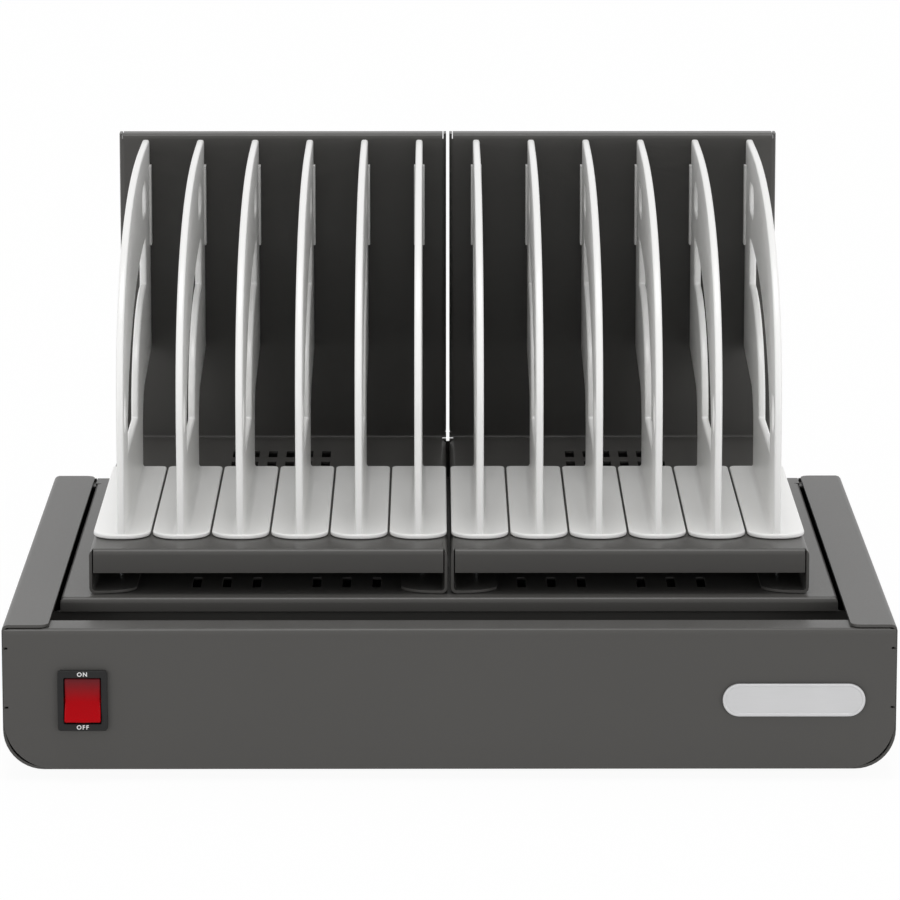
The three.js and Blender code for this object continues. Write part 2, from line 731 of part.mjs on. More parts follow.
function rackHoles() {
  const tools = [];
  const throughFloor = [rackFloorZ - 2 * sheet, rackFloorZ + sheet];
  for (let column = 0; column < floorSlotColumns; column++) {
    const x = (column - (floorSlotColumns - 1) / 2) * floorSlotPitch;
    for (const row of floorSlotRows) {
      tools.push(alongZ(rectangle(x, rackBack - row, floorSlotWidth, floorSlotLength), ...throughFloor));
    }
  }
  for (const x of dividerPlaces) {
    for (const y of pegPlaces) {
      tools.push(alongZ(rectangle(x, y, pegWidth + 2 * holeGap, pegLength + 2 * holeGap), ...throughFloor));
    }
    const wide = hookWidth / 2 + holeGap;
    const slotLow = hookBottom - holeGap;
    const slotTop = hookBottom + hookHeight + hookDrop + holeGap;
    tools.push(block(x - wide, x + wide, rackBack - sheet, rackBack + 2 * sheet, slotLow, slotTop));
  }
  for (const sign of [-1, 1]) {
    for (const y of rackScrewPlaces) {
      const x = sign * (rackWidth / 2 - rackScrewInset);
      tools.push(rodZ(x, y, deckZ - sheet, deckZ + 3 * sheet, rackScrewRadius + holeGap));
    }
  }
  return tools;
}

function rackScrewAll() {
  const places = [];
  for (const middle of [-rackX, rackX]) {
    for (const sign of [-1, 1]) {
      for (const y of rackScrewPlaces) {
        places.push([middle + sign * (rackWidth / 2 - rackScrewInset), y]);
      }
    }
  }
  return places;
}

// A screw from below, through the deck and the rack's bottom flange.
function rackScrew() {
  const low = deckSeat - rackScrewHeadHeight;
  const end = deckZ + fit + sheet + rackScrewEnd;
  const profile = [
    [0, low], [rackScrewCrown, low], [rackScrewHead, low + rackScrewHeadHeight / 2],
    [rackScrewHead, deckSeat], [rackScrewRadius, deckSeat], [rackScrewRadius, end], [0, end],
  ];
  return turned(profile, 8);
}

// Dividers

function finOutline() {
  const curve = [];
  const run = finRear - finFlatTop - finFront;
  for (let i = 0; i <= finSteps; i++) {
    const angle = (i / finSteps) * (Math.PI / 2);
    const across = Math.cos(angle) ** (2 / finPower);
    const up = Math.sin(angle) ** (2 / finPower);
    curve.push([finFront + run * (1 - across), finTop - finRise * (1 - up)]);
  }
  const underside = rackFloorZ + passageRise;
  return outline([
    [finFront, shoeTop - shoeThickness / 2],
    ...curve,
    [finRear, finTop, finTopCorner],
    [finRear, underside, finTopCorner],
    [shoeRear, underside - passageFall, passageCorner],
    [shoeRear, shoeTop - shoeThickness / 2],
  ]);
}

// The window lies between two quarter ellipses with one middle.
function finWindow() {
  const rear = rackBack - windowBack;
  const sill = rackFloorZ + windowSill;
  const reach = rear - finFront - windowFront;
  const rise = finTop - windowTop - sill;
  const points = [];
  for (let i = 0; i <= windowSteps; i++) {
    const angle = (i / windowSteps) * (Math.PI / 2);
    points.push([rear - reach * Math.cos(angle), sill + rise * Math.sin(angle)]);
  }
  for (let i = windowSteps; i >= 0; i--) {
    const angle = (i / windowSteps) * (Math.PI / 2);
    const innerReach = reach - windowFloor;
    const innerRise = rise - windowEnd;
    points.push([rear - innerReach * Math.cos(angle), sill + innerRise * Math.sin(angle)]);
  }
  return outline(points);
}

function divider() {
  const half = finThickness / 2;
  const oval = rectangle(rackBack - ovalBack, finTop - ovalDrop, ovalLength, ovalHeight, ovalHeight / 2);
  const eye = rectangle(finFront + eyeBack, rackFloorZ + eyeRise, 2 * eyeRadius, 2 * eyeRadius, eyeRadius);
  const fin = alongX(finOutline(), -half, half, [finWindow(), oval, eye]);
  const side = shoeWidth / 2;
  const shoe = outline([
    [-side, shoeFront, shoeNose], [side, shoeFront, shoeNose],
    [side, shoeRear, shoeHeel], [-side, shoeRear, shoeHeel],
  ]);
  const padHalf = padThickness / 2;
  const pad = block(-padHalf, padHalf, finRear - padDepth, finRear, padTop - padHeight, padTop);
  const pieces = [
    fin,
    alongZ(shoe, shoeBottom, shoeTop),
    pad,
    alongX(hookOutline(), -hookWidth / 2, hookWidth / 2),
    ...pegPlaces.map((y) => alongX(pegOutline(y), -pegWidth / 2, pegWidth / 2)),
  ];
  return join(...pieces);
}

function pegOutline(y) {
  const half = pegLength / 2;
  const under = rackFloorZ - sheet - fit;
  const tip = under - pegTip;
  const start = shoeTop - shoeThickness / 2;
  return outline([
    [y - half, start], [y - half, under], [y - half - pegBarb, under], [y - half + pegBarb, tip],
    [y + half - pegBarb, tip], [y + half + pegBarb, under], [y + half, under], [y + half, start],
  ]);
}

function hookOutline() {
  const behind = rackBack + sheet + fit;
  const end = behind + hookThickness;
  const top = hookBottom + hookHeight;
  const start = finRear - padDepth / 2;
  const tip = hookBottom - hookDrop;
  return outline([
    [start, hookBottom], [behind, hookBottom], [behind, tip], [end, tip], [end, top], [start, top],
  ]);
}

// Power switch and badge

function switchHousing() {
  const bezel = rectangle(switchX, controlZ, bezelWidth, bezelHeight, bend);
  const body = rectangle(switchX, controlZ, switchBodyWidth, switchBodyHeight);
  const opening = rectangle(switchX, controlZ, rockerOpeningWidth, rockerOpeningHeight);
  const pivotHalf = rockerOpeningWidth / 2 + pivotLength;
  const tools = [
    alongY(opening, -2 * bezelThickness, rockerOpeningDepth),
    rodX(switchX - pivotHalf, switchX + pivotHalf, 0, controlZ, pivotRadius + runGap),
  ];
  for (const x of terminalPlaces()) {
    const slot = rectangle(x, controlZ, terminalThickness + 2 * fit, terminalWidth + 2 * fit);
    tools.push(alongY(slot, switchBodyDepth - terminalSeat - fit, switchBodyDepth + sheet));
  }
  const front = -fit - bezelThickness;
  return cut(join(alongY(bezel, front, -fit), alongY(body, front, switchBodyDepth)), tools);
}

function terminalPlaces() {
  return [switchX - terminalPitch / 2, switchX + terminalPitch / 2];
}

function switchTerminal() {
  const start = switchBodyDepth - terminalSeat;
  const blade = rectangle(0, controlZ, terminalThickness, terminalWidth);
  return alongY(blade, start, start + terminalLength);
}

// The rocker about its pivot, level. Its top and bottom faces are arcs about the pivot.
function rockerShape() {
  const edge = THREE.MathUtils.degToRad(rockerEdgeAngle);
  const heel = Math.asin(rockerBack / rockerRadius);
  const steps = arcSteps(rockerRadius);
  const points = [[-rockerValley, 0]];
  for (let k = 0; k <= steps; k++) {
    const angle = -edge + ((edge + heel) * k) / steps;
    points.push([rockerRadius * Math.sin(angle), rockerRadius * Math.cos(angle)]);
  }
  for (let k = steps; k >= 0; k--) {
    const angle = -edge + ((edge + heel) * k) / steps;
    points.push([rockerRadius * Math.sin(angle), -rockerRadius * Math.cos(angle)]);
  }
  const half = rockerOpeningWidth / 2 - runGap;
  const stub = half + pivotLength;
  return join(alongX(outline(points), -half, half), rodX(-stub, stub, 0, 0, pivotRadius));
}

// A pill with a raised rim and a bare face.
function badgePlate() {
  const x = baseWidth / 2 - badgeInset;
  const front = -fit - badgeThickness;
  const rimless = [badgeWidth - 2 * badgeRim, badgeHeight - 2 * badgeRim];
  const pill = rectangle(x, controlZ, badgeWidth, badgeHeight, badgeHeight / 2);
  const face = rectangle(x, controlZ, ...rimless, rimless[1] / 2);
  return cut(solid(alongY(pill, front, -fit)), [alongY(face, front - badgeRecess, front + badgeRecess)]);
}

// Mains inlet on the rear panel

function mainsInlet() {
  const face = baseDepth + fit;
  const front = face + inletFlangeThickness;
  const flange = rectangle(inletX, controlZ, inletFlangeWidth, inletFlangeHeight, inletFlangeCorner);
  const body = rectangle(inletX, controlZ, inletBodyWidth, inletBodyHeight, inletBodyCorner);
  const socketWidth = inletBodyWidth - 2 * inletWall;
  const socketHeight = inletBodyHeight - 2 * inletWall;
  const socket = rectangle(inletX, controlZ, socketWidth, socketHeight, inletBodyCorner - inletWall / 2);
  const tools = [alongY(socket, inletBodyFront + inletRearWall, front + sheet)];
  for (const x of inletScrewPlaces()) {
    tools.push(rodY(x, controlZ, baseDepth - sheet, front + sheet, inletScrewRadius + holeGap));
  }
  for (const [x, z] of bladePlaces()) {
    const slot = rectangle(x, z, bladeWidth + 2 * fit, bladeThickness + 2 * fit);
    tools.push(alongY(slot, inletBodyFront - sheet, inletBodyFront + inletRearWall + sheet));
  }
  return cut(join(alongY(flange, face, front), alongY(body, inletBodyFront, front)), tools);
}

function bladePlaces() {
  const low = controlZ - bladeRise / 2;
  return [[inletX - bladePitch, low], [inletX, low + bladeRise], [inletX + bladePitch, low]];
}

function inletBlade([x, z]) {
  const blade = rectangle(x, z, bladeWidth, bladeThickness);
  const end = inletBodyFront + inletRearWall + bladeReach;
  return alongY(blade, inletBodyFront - bladeTail, end);
}

function inletScrewPlaces() {
  return [inletX - inletScrewPitch / 2, inletX + inletScrewPitch / 2];
}

function inletScrew() {
  const seat = baseDepth + 2 * fit + inletFlangeThickness;
  const top = seat + inletScrewHeadHeight;
  const profile = [
    [0, seat - inletScrewLength], [inletScrewRadius, seat - inletScrewLength], [inletScrewRadius, seat],
    [inletScrewHead, seat], [inletScrewHead, seat + inletScrewHeadHeight / 2],
    [inletScrewCrown, top], [0, top],
  ];
  return turned(profile, 8).rotateX(-Math.PI / 2);
}

// Power supply and hubs

function powerSupply() {
  const plan = rectangle(0, (supplyFront + supplyRear) / 2, supplyWidth, supplyDepth, supplyCorner);
  return alongZ(plan, supplyBottom, supplyBottom + supplyHeight);
}

// A hub with a row of ports in its front, each with a contact tongue.
function usbHub() {
  const low = bottomZ + fit;
  const middle = low + hubHeight / 2;
  const plan = rectangle(0, (hubFront + hubRear) / 2, hubWidth, hubDepth, hubCorner);
  let hub = solid(alongZ(plan, low, low + hubHeight));
  for (let i = 0; i < portsPerHub; i++) {
    const x = (i - (portsPerHub - 1) / 2) * portPitch;
    const end = hubFront + portDepth;
    const tongue = rectangle(x, middle, tongueWidth, tongueThickness);
    hub = cut(hub, [alongY(rectangle(x, middle, portWidth, portHeight), hubFront - sheet, end)]);
    hub = hub.add(solid(alongY(tongue, end - tongueLength, end + sheet)));
  }
  return hub;
}

// Routes of the leads, from end to end

const runX = leadRunInset - baseWidth / 2;
const runZ = bottomZ + leadRunHeight;
const bladeRear = inletBodyFront - bladeTail - fit;
const bladeZ = controlZ - bladeRise / 2;
const supplySide = -supplyWidth / 2 - fit;
const leadStart = terminalRear + fit;

const lineX = inletX - bladePitch;
const neutralX = inletX + bladePitch;
const [inTerminal, outTerminal] = terminalPlaces();

const lineRoute = [
  [lineX, bladeRear, bladeZ], [lineX, bladeRear - 12, bladeZ], [lineX - 15, bladeRear - 25, 30],
  [runX - leadRunSpread + 4, bladeRear - 40, 15], [runX - leadRunSpread, bladeRear - 58, runZ],
  [runX - leadRunSpread, 200, runZ], [runX - leadRunSpread, 100, runZ], [runX - leadRunSpread, 74, runZ],
  [runX, 66, 20], [inTerminal, leadStart + 18, controlZ - 6],
  [inTerminal, leadStart + 8, controlZ], [inTerminal, leadStart, controlZ],
];
const switchedRoute = [
  [outTerminal, leadStart, controlZ], [outTerminal, leadStart + 8, controlZ],
  [outTerminal, leadStart + 18, controlZ - 6], [outTerminal - 3, 64, 20],
  [runX + leadRunSpread, 74, runZ], [runX + leadRunSpread, 100, runZ], [runX + leadRunSpread, 200, runZ],
  [runX + leadRunSpread, 285, runZ], [runX + 16, 308, 14], [supplySide - 40, supplyFront + 20, 20],
  [supplySide - 12, supplyFront + 22, 22], [supplySide, supplyFront + 22, 22],
];
const neutralRoute = [
  [neutralX, bladeRear, bladeZ], [neutralX, bladeRear - 8, bladeZ],
  [neutralX + 11, bladeRear - 18, bladeZ - 4],
  [supplySide - 10, supplyRear - 20, 32], [supplySide, supplyRear - 20, 32],
];

function hubRoute(sign) {
  const z = bottomZ + fit + hubHeight / 2;
  const near = sign * (supplyWidth / 2 - hubLeadInset);
  const far = sign * rackX;
  return [
    [near, supplyFront - fit, z], [near, supplyFront - hubLeadEnd, z],
    [far, hubRear + hubLeadEnd, z], [far, hubRear + fit, z],
  ];
}

// The assembly

function mesh(name, shape, finish) {
  const geometry = shape.isBufferGeometry ? shape : geometryOf(shape);
  const piece = new THREE.Mesh(geometry, new THREE.MeshStandardMaterial(finish));
  piece.name = name;
  return piece;
}

function at(x, y, z, piece) {
  piece.position.set(x, y, z);
  return piece;
}

const base = new THREE.Group();
base.add(
  mesh('base_shell', baseShell(), darkSteel),
  mesh('front_panel', frontPanel(), darkSteel),
  mesh('rear_panel', rearPanel(), darkSteel),
  mesh('deck_rail', deckRail(), darkSteel),
  mesh('switch_housing', switchHousing(), blackPlastic),
  mesh('badge_plate', badgePlate(), badgeGrey),
  mesh('mains_inlet', mainsInlet(), blackPlastic),
  mesh('power_supply', powerSupply(), plainSteel),
  mesh('line_lead', lead(lineRoute), brownLead),
  mesh('switched_lead', lead(switchedRoute), blackLead),
  mesh('neutral_lead', lead(neutralRoute), blueLead),
);
footPlaces().forEach(([x, y], i) => {
  base.add(at(x, y, 0, mesh(`rubber_foot_${i + 1}`, rubberFoot(), blackRubber)));
});
terminalPlaces().forEach((x, i) => {
  base.add(at(x, 0, 0, mesh(`switch_terminal_${i + 1}`, switchTerminal(), brass)));
});
bladePlaces().forEach((place, i) => base.add(mesh(`inlet_blade_${i + 1}`, inletBlade(place), plainSteel)));
inletScrewPlaces().forEach((x, i) => {
  base.add(at(x, 0, controlZ, mesh(`inlet_screw_${i + 1}`, inletScrew(), plainSteel)));
});

const rocker = mesh('switch_rocker', rockerShape(), redPlastic);
rocker.rotation.x = -THREE.MathUtils.degToRad(rockerTilt);

const deck = new THREE.Group();
deck.add(mesh('deck_plate', deckPlate(), darkSteel));
rackScrewAll().forEach(([x, y], i) => {
  deck.add(at(x, y, 0, mesh(`rack_screw_${i + 1}`, rackScrew(), plainSteel)));
});

[['left', -1], ['right', 1]].forEach(([side, sign], i) => {
  const x = sign * rackX;
  const pin = rodX(-hingeWidth / 2, hingeWidth / 2, hingeY, hingeZ, hingePinRadius);
  base.add(
    at(x, 0, 0, mesh(`hinge_fixed_leaf_${side}`, hingeLeafSolid(-1, outerRuns, innerRuns), plainSteel)),
    at(x, 0, 0, mesh(`hinge_pin_${side}`, pin, plainSteel)),
    at(x, 0, 0, mesh(`usb_hub_${side}`, usbHub(), blackPlastic)),
    mesh(`hub_lead_${side}`, lead(hubRoute(sign)), blackLead),
  );
  deck.add(
    at(x, 0, 0, mesh(`hinge_moving_leaf_${side}`, hingeLeafSolid(1, innerRuns, outerRuns), plainSteel)),
    at(x, 0, 0, mesh(`rack_${side}`, rack(), darkSteel)),
  );
  dividerPlaces.forEach((place, k) => {
    const number = String(i * dividersPerRack + k + 1).padStart(2, '0');
    deck.add(at(x + place, 0, 0, mesh(`divider_${number}`, divider(), whitePlastic)));
  });
});

const tray = new THREE.Group();
const pieces = new THREE.Group();
pieces.add(base, deck, at(switchX, 0, controlZ, rocker));
tray.add(pieces);

// The origin is under the middle of the whole tray.
const whole = new THREE.Box3().setFromObject(tray, true);
pieces.position.y = -(whole.min.y + whole.max.y) / 2;

export default tray;
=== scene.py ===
import math

import bmesh
import bpy
from mathutils import Matrix, Vector


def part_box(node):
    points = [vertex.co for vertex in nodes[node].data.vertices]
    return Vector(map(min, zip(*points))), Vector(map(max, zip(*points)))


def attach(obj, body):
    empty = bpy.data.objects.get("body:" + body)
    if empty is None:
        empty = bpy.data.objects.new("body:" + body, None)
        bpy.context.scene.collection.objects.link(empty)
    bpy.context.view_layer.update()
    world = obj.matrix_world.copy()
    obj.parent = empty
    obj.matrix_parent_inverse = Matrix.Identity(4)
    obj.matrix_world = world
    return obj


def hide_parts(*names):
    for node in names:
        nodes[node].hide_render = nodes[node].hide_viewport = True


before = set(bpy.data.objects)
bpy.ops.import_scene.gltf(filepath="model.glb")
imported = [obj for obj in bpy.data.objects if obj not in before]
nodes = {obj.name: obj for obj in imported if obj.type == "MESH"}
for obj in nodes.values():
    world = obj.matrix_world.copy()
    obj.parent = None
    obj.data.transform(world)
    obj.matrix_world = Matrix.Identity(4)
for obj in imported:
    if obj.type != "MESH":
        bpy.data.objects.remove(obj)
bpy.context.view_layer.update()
mm = 0.001
print("frame loaded with", len(nodes), "nodes")


# Camera, at the photograph's place

cameraSetup = {
    "lens": 212.7,
    "sensor": 36,
    "farEnd": 50,
    "place": (-0.0074, -2.7967, 0.6788),
    "pitch": 11.083,  # degrees below the horizon
    "yaw": -0.167,  # degrees, to the right
}


def makeCamera(setup):
    data = bpy.data.cameras.new("camera")
    data.lens = setup["lens"]
    data.sensor_width = setup["sensor"]
    data.clip_end = setup["farEnd"]
    camera = bpy.data.objects.new("camera", data)
    camera.location = setup["place"]
    camera.rotation_euler = (math.radians(90 - setup["pitch"]), 0, math.radians(setup["yaw"]))
    bpy.context.collection.objects.link(camera)
    bpy.context.scene.camera = camera


makeCamera(cameraSetup)
print("camera set")


# Shader maths: a socket that takes part in sums, and the tree that it belongs to

class Socket:
    def __init__(self, tree, out):
        self.tree = tree
        self.out = out

    def sum(self, operation, first, second):
        return self.tree.add("ShaderNodeMath", {"operation": operation}, {0: first, 1: second})

    def __add__(self, other):
        return self.sum("ADD", self, other)

    def __radd__(self, other):
        return self.sum("ADD", other, self)

    def __sub__(self, other):
        return self.sum("SUBTRACT", self, other)

    def __rsub__(self, other):
        return self.sum("SUBTRACT", other, self)

    def __mul__(self, other):
        return self.sum("MULTIPLY", self, other)

    def __rmul__(self, other):
        return self.sum("MULTIPLY", other, self)


class Tree:
    def add(self, kind, settings=None, sockets=None, out=0):
        node = self.nodeTree.nodes.new(kind)
        for key, value in (settings or {}).items():
            setattr(node, key, value)
        for key, value in (sockets or {}).items():
            for part in value if isinstance(value, list) else [value]:
                if isinstance(part, Socket):
                    self.nodeTree.links.new(part.out, node.inputs[key])
                else:
                    node.inputs[key].default_value = part
        return Socket(self, node.outputs[out]) if len(node.outputs) else None


class Finish(Tree):
    def __init__(self, name, world=None):
        self.owner = world or bpy.data.materials.new(name)
        self.owner.use_nodes = True
        self.nodeTree = self.owner.node_tree
        self.nodeTree.nodes.clear()

    def place(self, stretch=(1, 1, 1)):
        spot = self.add("ShaderNodeTexCoord", out="Object")
        return self.add("ShaderNodeMapping", sockets={"Vector": spot, "Scale": stretch})

    def noise(self, grain, detail=2, stretch=(1, 1, 1)):  # grain is the size of its spots
        sockets = {"Vector": self.place(stretch), "Scale": 1 / grain, "Detail": detail}
        return self.add("ShaderNodeTexNoise", sockets=sockets)

    def mix(self, factor, first, second):
        sockets = {0: factor, 6: first, 7: second}
        return self.add("ShaderNodeMix", {"data_type": "RGBA"}, sockets, out=2)

    def bump(self, height, depth, strength=1):
        sockets = {"Height": height, "Distance": depth, "Strength": strength}
        return self.add("ShaderNodeBump", sockets=sockets)

    def surface(self, sockets):
        shader = self.add("ShaderNodeBsdfPrincipled", sockets=sockets)
        self.add("ShaderNodeOutputMaterial", sockets={"Surface": shader})
        return self.owner


def shade(level, tint=(1, 1, 1)):
    return (level * tint[0], level * tint[1], level * tint[2], 1)


# Finishes

def shared(first, second, share):  # share is the second one's
    return first * (1 - share) + second * share


def uneven(level, noise, reach):  # noise is 0.5 on average
    return level + (noise - 0.5) * reach


coatTint = (1.03, 1.0, 0.95)
coatLook = {
    "colour": shade(0.073, coatTint),
    "faded": shade(0.066, coatTint),
    "cloud": 60 * mm,  # width of the faded patches
    "peel": 1.6 * mm,  # width of the orange peel
    "grit": 0.5 * mm,
    "gritInColour": 0.45,
    "gritInRelief": 0.3,
    "depth": 0.03 * mm,
    "roughness": 0.37,
    "unevenness": 0.16,
    "gloss": 0.22,
}


def powderCoat(look):
    finish = Finish("powderCoat")
    cloud = finish.noise(look["cloud"], 3)
    grit = finish.noise(look["grit"], 2)
    peel = finish.noise(look["peel"], 1)
    patches = shared(cloud, grit, look["gritInColour"])
    relief = shared(peel, grit, look["gritInRelief"])
    return finish.surface({
        "Base Color": finish.mix(patches, look["faded"], look["colour"]),
        "Roughness": uneven(look["roughness"], grit, look["unevenness"]),
        "Specular IOR Level": look["gloss"],
        "Normal": finish.bump(relief, look["depth"]),
    })


whiteTint = (1.0, 0.998, 0.985)
whiteLook = {
    "colour": shade(0.87, whiteTint),
    "greyed": shade(0.835, whiteTint),
    "cloud": 45 * mm,
    "ripple": 9 * mm,
    "haze": 1.2 * mm,
    "depth": 0.05 * mm,
    "relief": 0.5,
    "roughness": 0.27,
    "cloudRoughness": 0.06,
    "hazeRoughness": 0.05,
    "scatter": 0.08,  # share of the light that goes into the plastic
    "scatterReach": 2 * mm,
}


def whitePlastic(look):
    finish = Finish("whitePlastic")
    cloud = finish.noise(look["cloud"], 2)
    ripple = finish.noise(look["ripple"], 1)
    haze = finish.noise(look["haze"], 2)
    rough = look["roughness"] + cloud * look["cloudRoughness"] + haze * look["hazeRoughness"]
    return finish.surface({
        "Base Color": finish.mix(cloud, look["greyed"], look["colour"]),
        "Roughness": rough,
        "Normal": finish.bump(ripple, look["depth"], look["relief"]),
        "Subsurface Weight": look["scatter"],
        "Subsurface Radius": (look["scatterReach"],) * 3,
        "Subsurface Scale": 1,
    })


blackLook = {
    "colour": shade(0.015),
    "worn": shade(0.021),
    "cloud": 14 * mm,
    "spark": 0.35 * mm,
    "depth": 0.03 * mm,
    "roughness": 0.42,
    "unevenness": 0.2,
    "gloss": 0.15,
}


def mouldedBlack(look):
    finish = Finish("mouldedBlack")
    spark = finish.noise(look["spark"], 2)
    cloud = finish.noise(look["cloud"], 2)
    return finish.surface({
        "Base Color": finish.mix(cloud, look["colour"], look["worn"]),
        "Roughness": uneven(look["roughness"], spark, look["unevenness"]),
        "Specular IOR Level": look["gloss"],
        "Normal": finish.bump(spark, look["depth"]),
    })


redLook = {
    "bright": shade(0.38, (1, 0.002, 0.01)),
    # deep is a shaded copy of the red, painted towards the rocker's top
    "deep": shade(0.115, (1, 0.14, 0.17)),
    "brightEnd": 0.5 * mm,  # below the rocker's middle
    "shadeStart": 1.2 * mm,  # below the rocker's top, where the painted shade is full
    "cloud": 3 * mm,
    "cloudInColour": 0.1,
    "depth": 0.02 * mm,
    "relief": 0.4,
    "roughness": 0.2,
    "unevenness": 0.06,
    "gloss": 0.06,
}


def clearRed(look, bottom, top):  # painted shade: darker towards the top, where the bezel shades the rocker
    finish = Finish("clearRed")
    spot = finish.add("ShaderNodeTexCoord", out="Object")
    upright = finish.add("ShaderNodeSeparateXYZ", sockets={0: spot}, out=2)
    rise = finish.add("ShaderNodeMapRange", sockets={
        "Value": upright,
        "From Min": (bottom + top) / 2 - look["brightEnd"],
        "From Max": top - look["shadeStart"],
    })
    cloud = finish.noise(look["cloud"], 2)
    # painted shade: none below the middle, full near the top, with a little random cloud
    paintedShade = shared(rise, cloud, look["cloudInColour"])
    return finish.surface({
        "Base Color": finish.mix(paintedShade, look["bright"], look["deep"]),
        "Roughness": look["roughness"] + cloud * look["unevenness"],
        "Normal": finish.bump(cloud, look["depth"], look["relief"]),
        "Specular IOR Level": look["gloss"],
    })


badgeTint = (1, 1, 1.01)
badgeLook = {
    "colour": shade(0.6, badgeTint),
    "shaded": shade(0.53, badgeTint),
    "brush": 0.5 * mm,
    "brushStretch": (0.04, 1, 1),  # long in x
    "cloud": 22 * mm,
    "cloudInColour": 0.5,
    "depth": 0.01 * mm,
    "relief": 0.5,
    "roughness": 0.34,
    "unevenness": 0.1,
    "metal": 0.25,
}


def satinSilver(look):
    finish = Finish("satinSilver")
    brushed = finish.noise(look["brush"], 3, look["brushStretch"])
    cloud = finish.noise(look["cloud"], 1)
    patches = shared(brushed, cloud, look["cloudInColour"])
    return finish.surface({
        "Base Color": finish.mix(patches, look["shaded"], look["colour"]),
        "Roughness": look["roughness"] + brushed * look["unevenness"],
        "Metallic": look["metal"],
        "Normal": finish.bump(brushed, look["depth"], look["relief"]),
    })


rubberLook = {
    "colour": shade(0.009),
    "dusty": shade(0.017),
    "dust": 9 * mm,
    "grain": 0.7 * mm,
    "depth": 0.06 * mm,
    "roughness": 0.72,
    "unevenness": 0.2,
}


def softRubber(look):
    finish = Finish("softRubber")
    grain = finish.noise(look["grain"], 3)
    dust = finish.noise(look["dust"], 3)
    return finish.surface({
        "Base Color": finish.mix(dust, look["colour"], look["dusty"]),
        "Roughness": look["roughness"] + grain * look["unevenness"],
        "Normal": finish.bump(grain, look["depth"]),
    })


metalLook = {
    "zincPlate": {
        "bright": shade(0.62, (0.98, 1, 1.02)), "dull": shade(0.48, (0.98, 1, 1.02)),
        "roughness": 0.32, "stretch": (1, 1, 1),
    },
    "millAluminium": {
        "bright": shade(0.7), "dull": shade(0.58),
        "roughness": 0.4, "stretch": (0.03, 1, 1),  # scratches long in x
    },
    "brightBrass": {
        "bright": shade(0.72, (1, 0.75, 0.32)), "dull": shade(0.55, (1, 0.72, 0.3)),
        "roughness": 0.28, "stretch": (1, 1, 1),
    },
    "scratch": 0.6 * mm,
    "scratchInColour": 0.4,
    "cloud": 8 * mm,
    "depth": 0.01 * mm,
    "relief": 0.6,
    "unevenness": 0.22,
}


def platedMetal(look, name):
    metal = look[name]
    finish = Finish(name)
    scratch = finish.noise(look["scratch"], 4, metal["stretch"])
    cloud = finish.noise(look["cloud"], 2)
    patches = shared(cloud, scratch, look["scratchInColour"])
    return finish.surface({
        "Base Color": finish.mix(patches, metal["dull"], metal["bright"]),
        "Roughness": uneven(metal["roughness"], scratch, look["unevenness"]),
        "Metallic": 1,
        "Normal": finish.bump(scratch, look["depth"], look["relief"]),
    })


leadLook = {
    "brownSleeve": (0.14, 0.044, 0.014),
    "blueSleeve": (0.025, 0.08, 0.35),
    "blackSleeve": (0.016, 0.016, 0.017),
    "darker": 0.75,
    "grain": 2 * mm,
    "depth": 0.02 * mm,
    "relief": 0.5,
    "roughness": 0.42,
    "unevenness": 0.12,
}


def leadSleeve(look, name):
    finish = Finish(name)
    grain = finish.noise(look["grain"], 2)
    return finish.surface({
        "Base Color": finish.mix(grain, shade(look["darker"], look[name]), shade(1, look[name])),
        "Roughness": look["roughness"] + grain * look["unevenness"],
        "Normal": finish.bump(grain, look["depth"], look["relief"]),
    })


inkLook = {
    "colour": shade(0.82),
    "thin": shade(0.62),
    "grain": 0.25 * mm,
    "roughness": 0.5,
    "unevenness": 0.15,
}


def printedWhite(look):
    finish = Finish("printedWhite")
    grain = finish.noise(look["grain"], 2)
    return finish.surface({
        "Base Color": finish.mix(grain, look["thin"], look["colour"]),
        "Roughness": look["roughness"] + grain * look["unevenness"],
    })


rockerLow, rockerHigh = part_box("switch_rocker")
coat = powderCoat(coatLook)
white = whitePlastic(whiteLook)
black = mouldedBlack(blackLook)
red = clearRed(redLook, rockerLow.z, rockerHigh.z)
silver = satinSilver(badgeLook)
rubber = softRubber(rubberLook)
zinc = platedMetal(metalLook, "zincPlate")
aluminium = platedMetal(metalLook, "millAluminium")
brass = platedMetal(metalLook, "brightBrass")
brownSleeve = leadSleeve(leadLook, "brownSleeve")
blueSleeve = leadSleeve(leadLook, "blueSleeve")
blackSleeve = leadSleeve(leadLook, "blackSleeve")
ink = printedWhite(inkLook)
print("finishes made")


# Meshes

meshing = {
    "merge": 0.002 * mm,  # points closer than this become one
    "flat": 0.4,  # degrees, faces within it become one
    "fold": 34,  # degrees, edges past it are rounded
    "slabSteps": 3,  # of a slab's rounded edge
    "mouldedCrease": 40,  # degrees, edges past it stay sharp
    "turnedCrease": 50,
    "patternCrease": 32,
}


def addPiece(name, mesh, material):
    piece = bpy.data.objects.new(name, mesh)
    bpy.context.collection.objects.link(piece)
    mesh.materials.clear()
    mesh.materials.append(material)
    return piece


def baked(piece):  # the mesh with its modifiers in it
    graph = bpy.context.evaluated_depsgraph_get()
    mesh = bpy.data.meshes.new_from_object(piece.evaluated_get(graph))
    piece.modifiers.clear()
    piece.data = mesh
    return piece


def evened(piece, crease=180):  # smooth, but flat faces stay flat and edges past the crease sharp
    piece.data.shade_smooth()
    piece.data.set_sharp_from_angle(angle=math.radians(crease))
    even = piece.modifiers.new("even", "WEIGHTED_NORMAL")
    even.keep_sharp = True
    even.weight = 100
    return piece


def settle(piece, body, slot, *replaced):
    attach(piece, body)
    if replaced:
        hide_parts(*replaced)
    return piece


def merged(mesh, turnOut=False):
    shape = bmesh.new()
    shape.from_mesh(mesh)
    bmesh.ops.remove_doubles(shape, verts=shape.verts, dist=meshing["merge"])
    if turnOut:
        bmesh.ops.recalc_face_normals(shape, faces=shape.faces)
    else:
        flat = math.radians(meshing["flat"])
        bmesh.ops.dissolve_limit(shape, angle_limit=flat, verts=shape.verts, edges=shape.edges)
    shape.to_mesh(mesh)
    shape.free()
    return mesh


